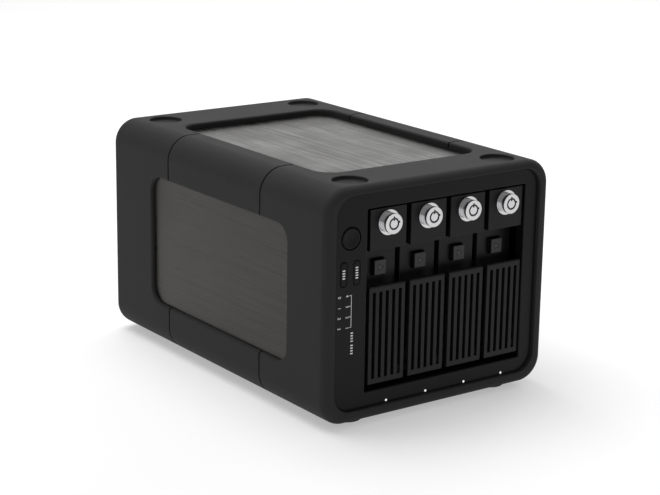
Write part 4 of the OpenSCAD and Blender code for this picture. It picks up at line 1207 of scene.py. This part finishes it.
def fanBlades(tree, sizes):
    # Thin curved blades round the Y axis
    length = sizes["Tip Radius"] - sizes["Hub Radius"]
    blade = tree.add("GeometryNodeMeshCube", values={
        "Size": vector(tree, length, sizes["Thickness"], sizes["Chord"]), "Vertices X": 9, "Vertices Y": 2,
        "Vertices Z": 9})
    x, y, z = ownPlace(tree)
    across = z / sizes["Chord"]
    bent = vector(tree, x, y - across * across * sizes["Camber"], z)
    turned = tree.add("ShaderNodeVectorRotate", {"rotation_type": "X_AXIS"}, {
        "Vector": bent, "Angle": sizes["Turn"] + x / length * sizes["Twist"]})
    moved = tree.add("ShaderNodeVectorMath", {"operation": "ADD"}, {
        0: turned, 1: vector(tree, (sizes["Tip Radius"] + sizes["Hub Radius"]) * 0.5)})
    blade = tree.add("GeometryNodeSetPosition", values={"Geometry": blade, "Position": moved})
    index = tree.add("GeometryNodeInputIndex")
    wheel = onPoints(tree, copies(tree, sizes["Blade Count"], (0, 0, 0)), blade, {
        "Rotation": vector(tree, 0.0, index * 2 * math.pi / sizes["Blade Count"], 0.0)})
    return onPoints(tree, sizes["Geometry"], wheel)


def makeRotorHub():
    low, high = boxOf("fan_rotor")
    middle = middleOf("fan_rotor")
    frameFront = boxOf("fan_frame")[0].y
    shell = Shell()
    cup = frameFront + 4.0
    back = frameFront + 23.5
    lathe(shell, [(0, back - 2.5), (rearSizes["hub"] - 2, back - 2.5), (rearSizes["hub"] - 2, cup),
                  (rearSizes["hub"], cup), (rearSizes["hub"], back - 0.8), (rearSizes["hub"] - 0.8, back),
                  (11, back), (10.6, back - 0.35), (9.6, back - 0.35), (9.2, back), (0, back)],
          (middle.x, middle.z), steps=72)
    lathe(shell, [(0, back - 2.52), (2, back - 2.52), (2, low.y), (0, low.y)], (middle.x, middle.z), steps=24)
    return shell.piece("fanHub", 40)


rotorMiddle = middleOf("fan_rotor")
dress(makeRotorHub(), "fan_plastic", "rotor", ["fan_rotor"])
dress(grown("fanBlades", [(rotorMiddle.x, boxOf("fan_frame")[0].y + 13.8, rotorMiddle.z)], {
    "Blade Count": 7, "Hub Radius": (rearSizes["hub"] - 0.6) * mm, "Tip Radius": rearSizes["bladeTip"] * mm,
    "Chord": 24 * mm, "Thickness": 1.3 * mm, "Camber": 5 * mm, "Turn": math.radians(38),
    "Twist": math.radians(-8)}, fanBlades, finishes["fan_plastic"]), "fan_plastic", "rotor")

for softNode, softName, softSlot, softBody, softWidth in (
        ("power_inlet", "powerInlet", "connector_black", "enclosure", 0.3),
        ("switch_frame", "switchFrame", "connector_black", "enclosure", 0.25),
        ("switch_rocker", "switchRocker", "rocker_plastic", "rocker", 0.3),
        ("network_socket", "networkSocket", "socket_steel", "enclosure", 0.2),
        ("usb_socket", "usbSocket", "socket_steel", "enclosure", 0.12),
        ("fan_frame", "fanFrame", "fan_plastic", "enclosure", 0.3)):
    dress(softened(softNode, softName, evenly(softWidth)), softSlot, softBody, [softNode])


def contactRow(tree, sizes):
    # Sprung wires side by side in a socket
    wire = tree.add("GeometryNodeMeshCube", values={
        "Size": vector(tree, sizes["Rise"], sizes["Length"], sizes["Width"])})
    row = copies(tree, sizes["Count"], vector(tree, 0.0, 0.0, sizes["Pitch"]))
    return onPoints(tree, sizes["Geometry"], onPoints(tree, row, wire))


netLow, netHigh = boxOf("network_socket")
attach(grown("socketContacts", [(netLow.x + 2.9, netHigh.y - 9.5, (netLow.z + netHigh.z) / 2 - 3.57)], {
    "Count": 8, "Pitch": 1.02 * mm, "Width": 0.42 * mm, "Rise": 0.9 * mm, "Length": 7 * mm}, contactRow,
    finishes["contact_gold"]), "enclosure")


def makeFeet():
    low, high = boxOf("feet")
    r = 10
    shell = Shell()
    for x in (low.x + r, high.x - r):
        for y in (low.y + r, high.y - r):
            lathe(shell, [(0, low.z), (5.6, low.z), (6, low.z + 0.45), (6.8, low.z + 0.45), (7.2, low.z),
                          (9.1, low.z), (9.7, low.z + 0.2), (10, low.z + 0.8), (10, high.z), (0, high.z)],
                  (x, y), "z", 56)
    return shell.piece("rubberFeet", 40)


dress(makeFeet(), "foot_rubber", "enclosure", ["feet"])


def finRow(tree, sizes):
    # Fins that taper a little towards their tips
    fin = tree.add("GeometryNodeMeshCube", values={
        "Size": vector(tree, sizes["Rise"], sizes["Length"], sizes["Thickness"]), "Vertices X": 3})
    x, y, z = ownPlace(tree)
    thin = z * (0.8 + x / sizes["Rise"] * 0.4)
    fin = tree.add("GeometryNodeSetPosition", values={"Geometry": fin, "Position": vector(tree, x, y, thin)})
    row = copies(tree, sizes["Count"], vector(tree, 0.0, 0.0, sizes["Pitch"]))
    rows = onPoints(tree, row, fin)
    base = tree.add("GeometryNodeMeshCube", values={"Size": vector(
        tree, sizes["Base"], sizes["Length"], sizes["Pitch"] * (sizes["Count"] - 1) + sizes["Thickness"])})
    base = tree.add("GeometryNodeTransform", values={"Geometry": base, "Translation": vector(
        tree, (sizes["Rise"] + sizes["Base"]) * 0.5, 0.0, sizes["Pitch"] * (sizes["Count"] - 1) * 0.5)})
    joined = linked(tree.add("GeometryNodeJoinGeometry"), 0, (rows, base))
    return onPoints(tree, sizes["Geometry"], joined)


sinkLow, sinkHigh = boxOf("heat_sink")
finPitch = (sinkHigh.z - sinkLow.z - 1.2) / 9
dress(grown("heatSink", [(sinkLow.x + 3.5, (sinkLow.y + sinkHigh.y) / 2, sinkLow.z + 0.6)], {
    "Count": 10, "Pitch": finPitch * mm, "Thickness": 1.2 * mm, "Rise": 7 * mm, "Base": 3 * mm,
    "Length": (sinkHigh.y - sinkLow.y) * mm}, finRow, finishes["sink_aluminium"]),
    "sink_aluminium", "enclosure", ["heat_sink"])

# Nodes that keep their own shape take a finish
recordSlots = {row["node"]: row["material_slot"] for row in frame["record"]["subparts"]}
for nodeName, node in nodes.items():
    if not node.hide_render:
        node.data.materials.clear()
        node.data.materials.append(finishes[recordSlots[nodeName]])
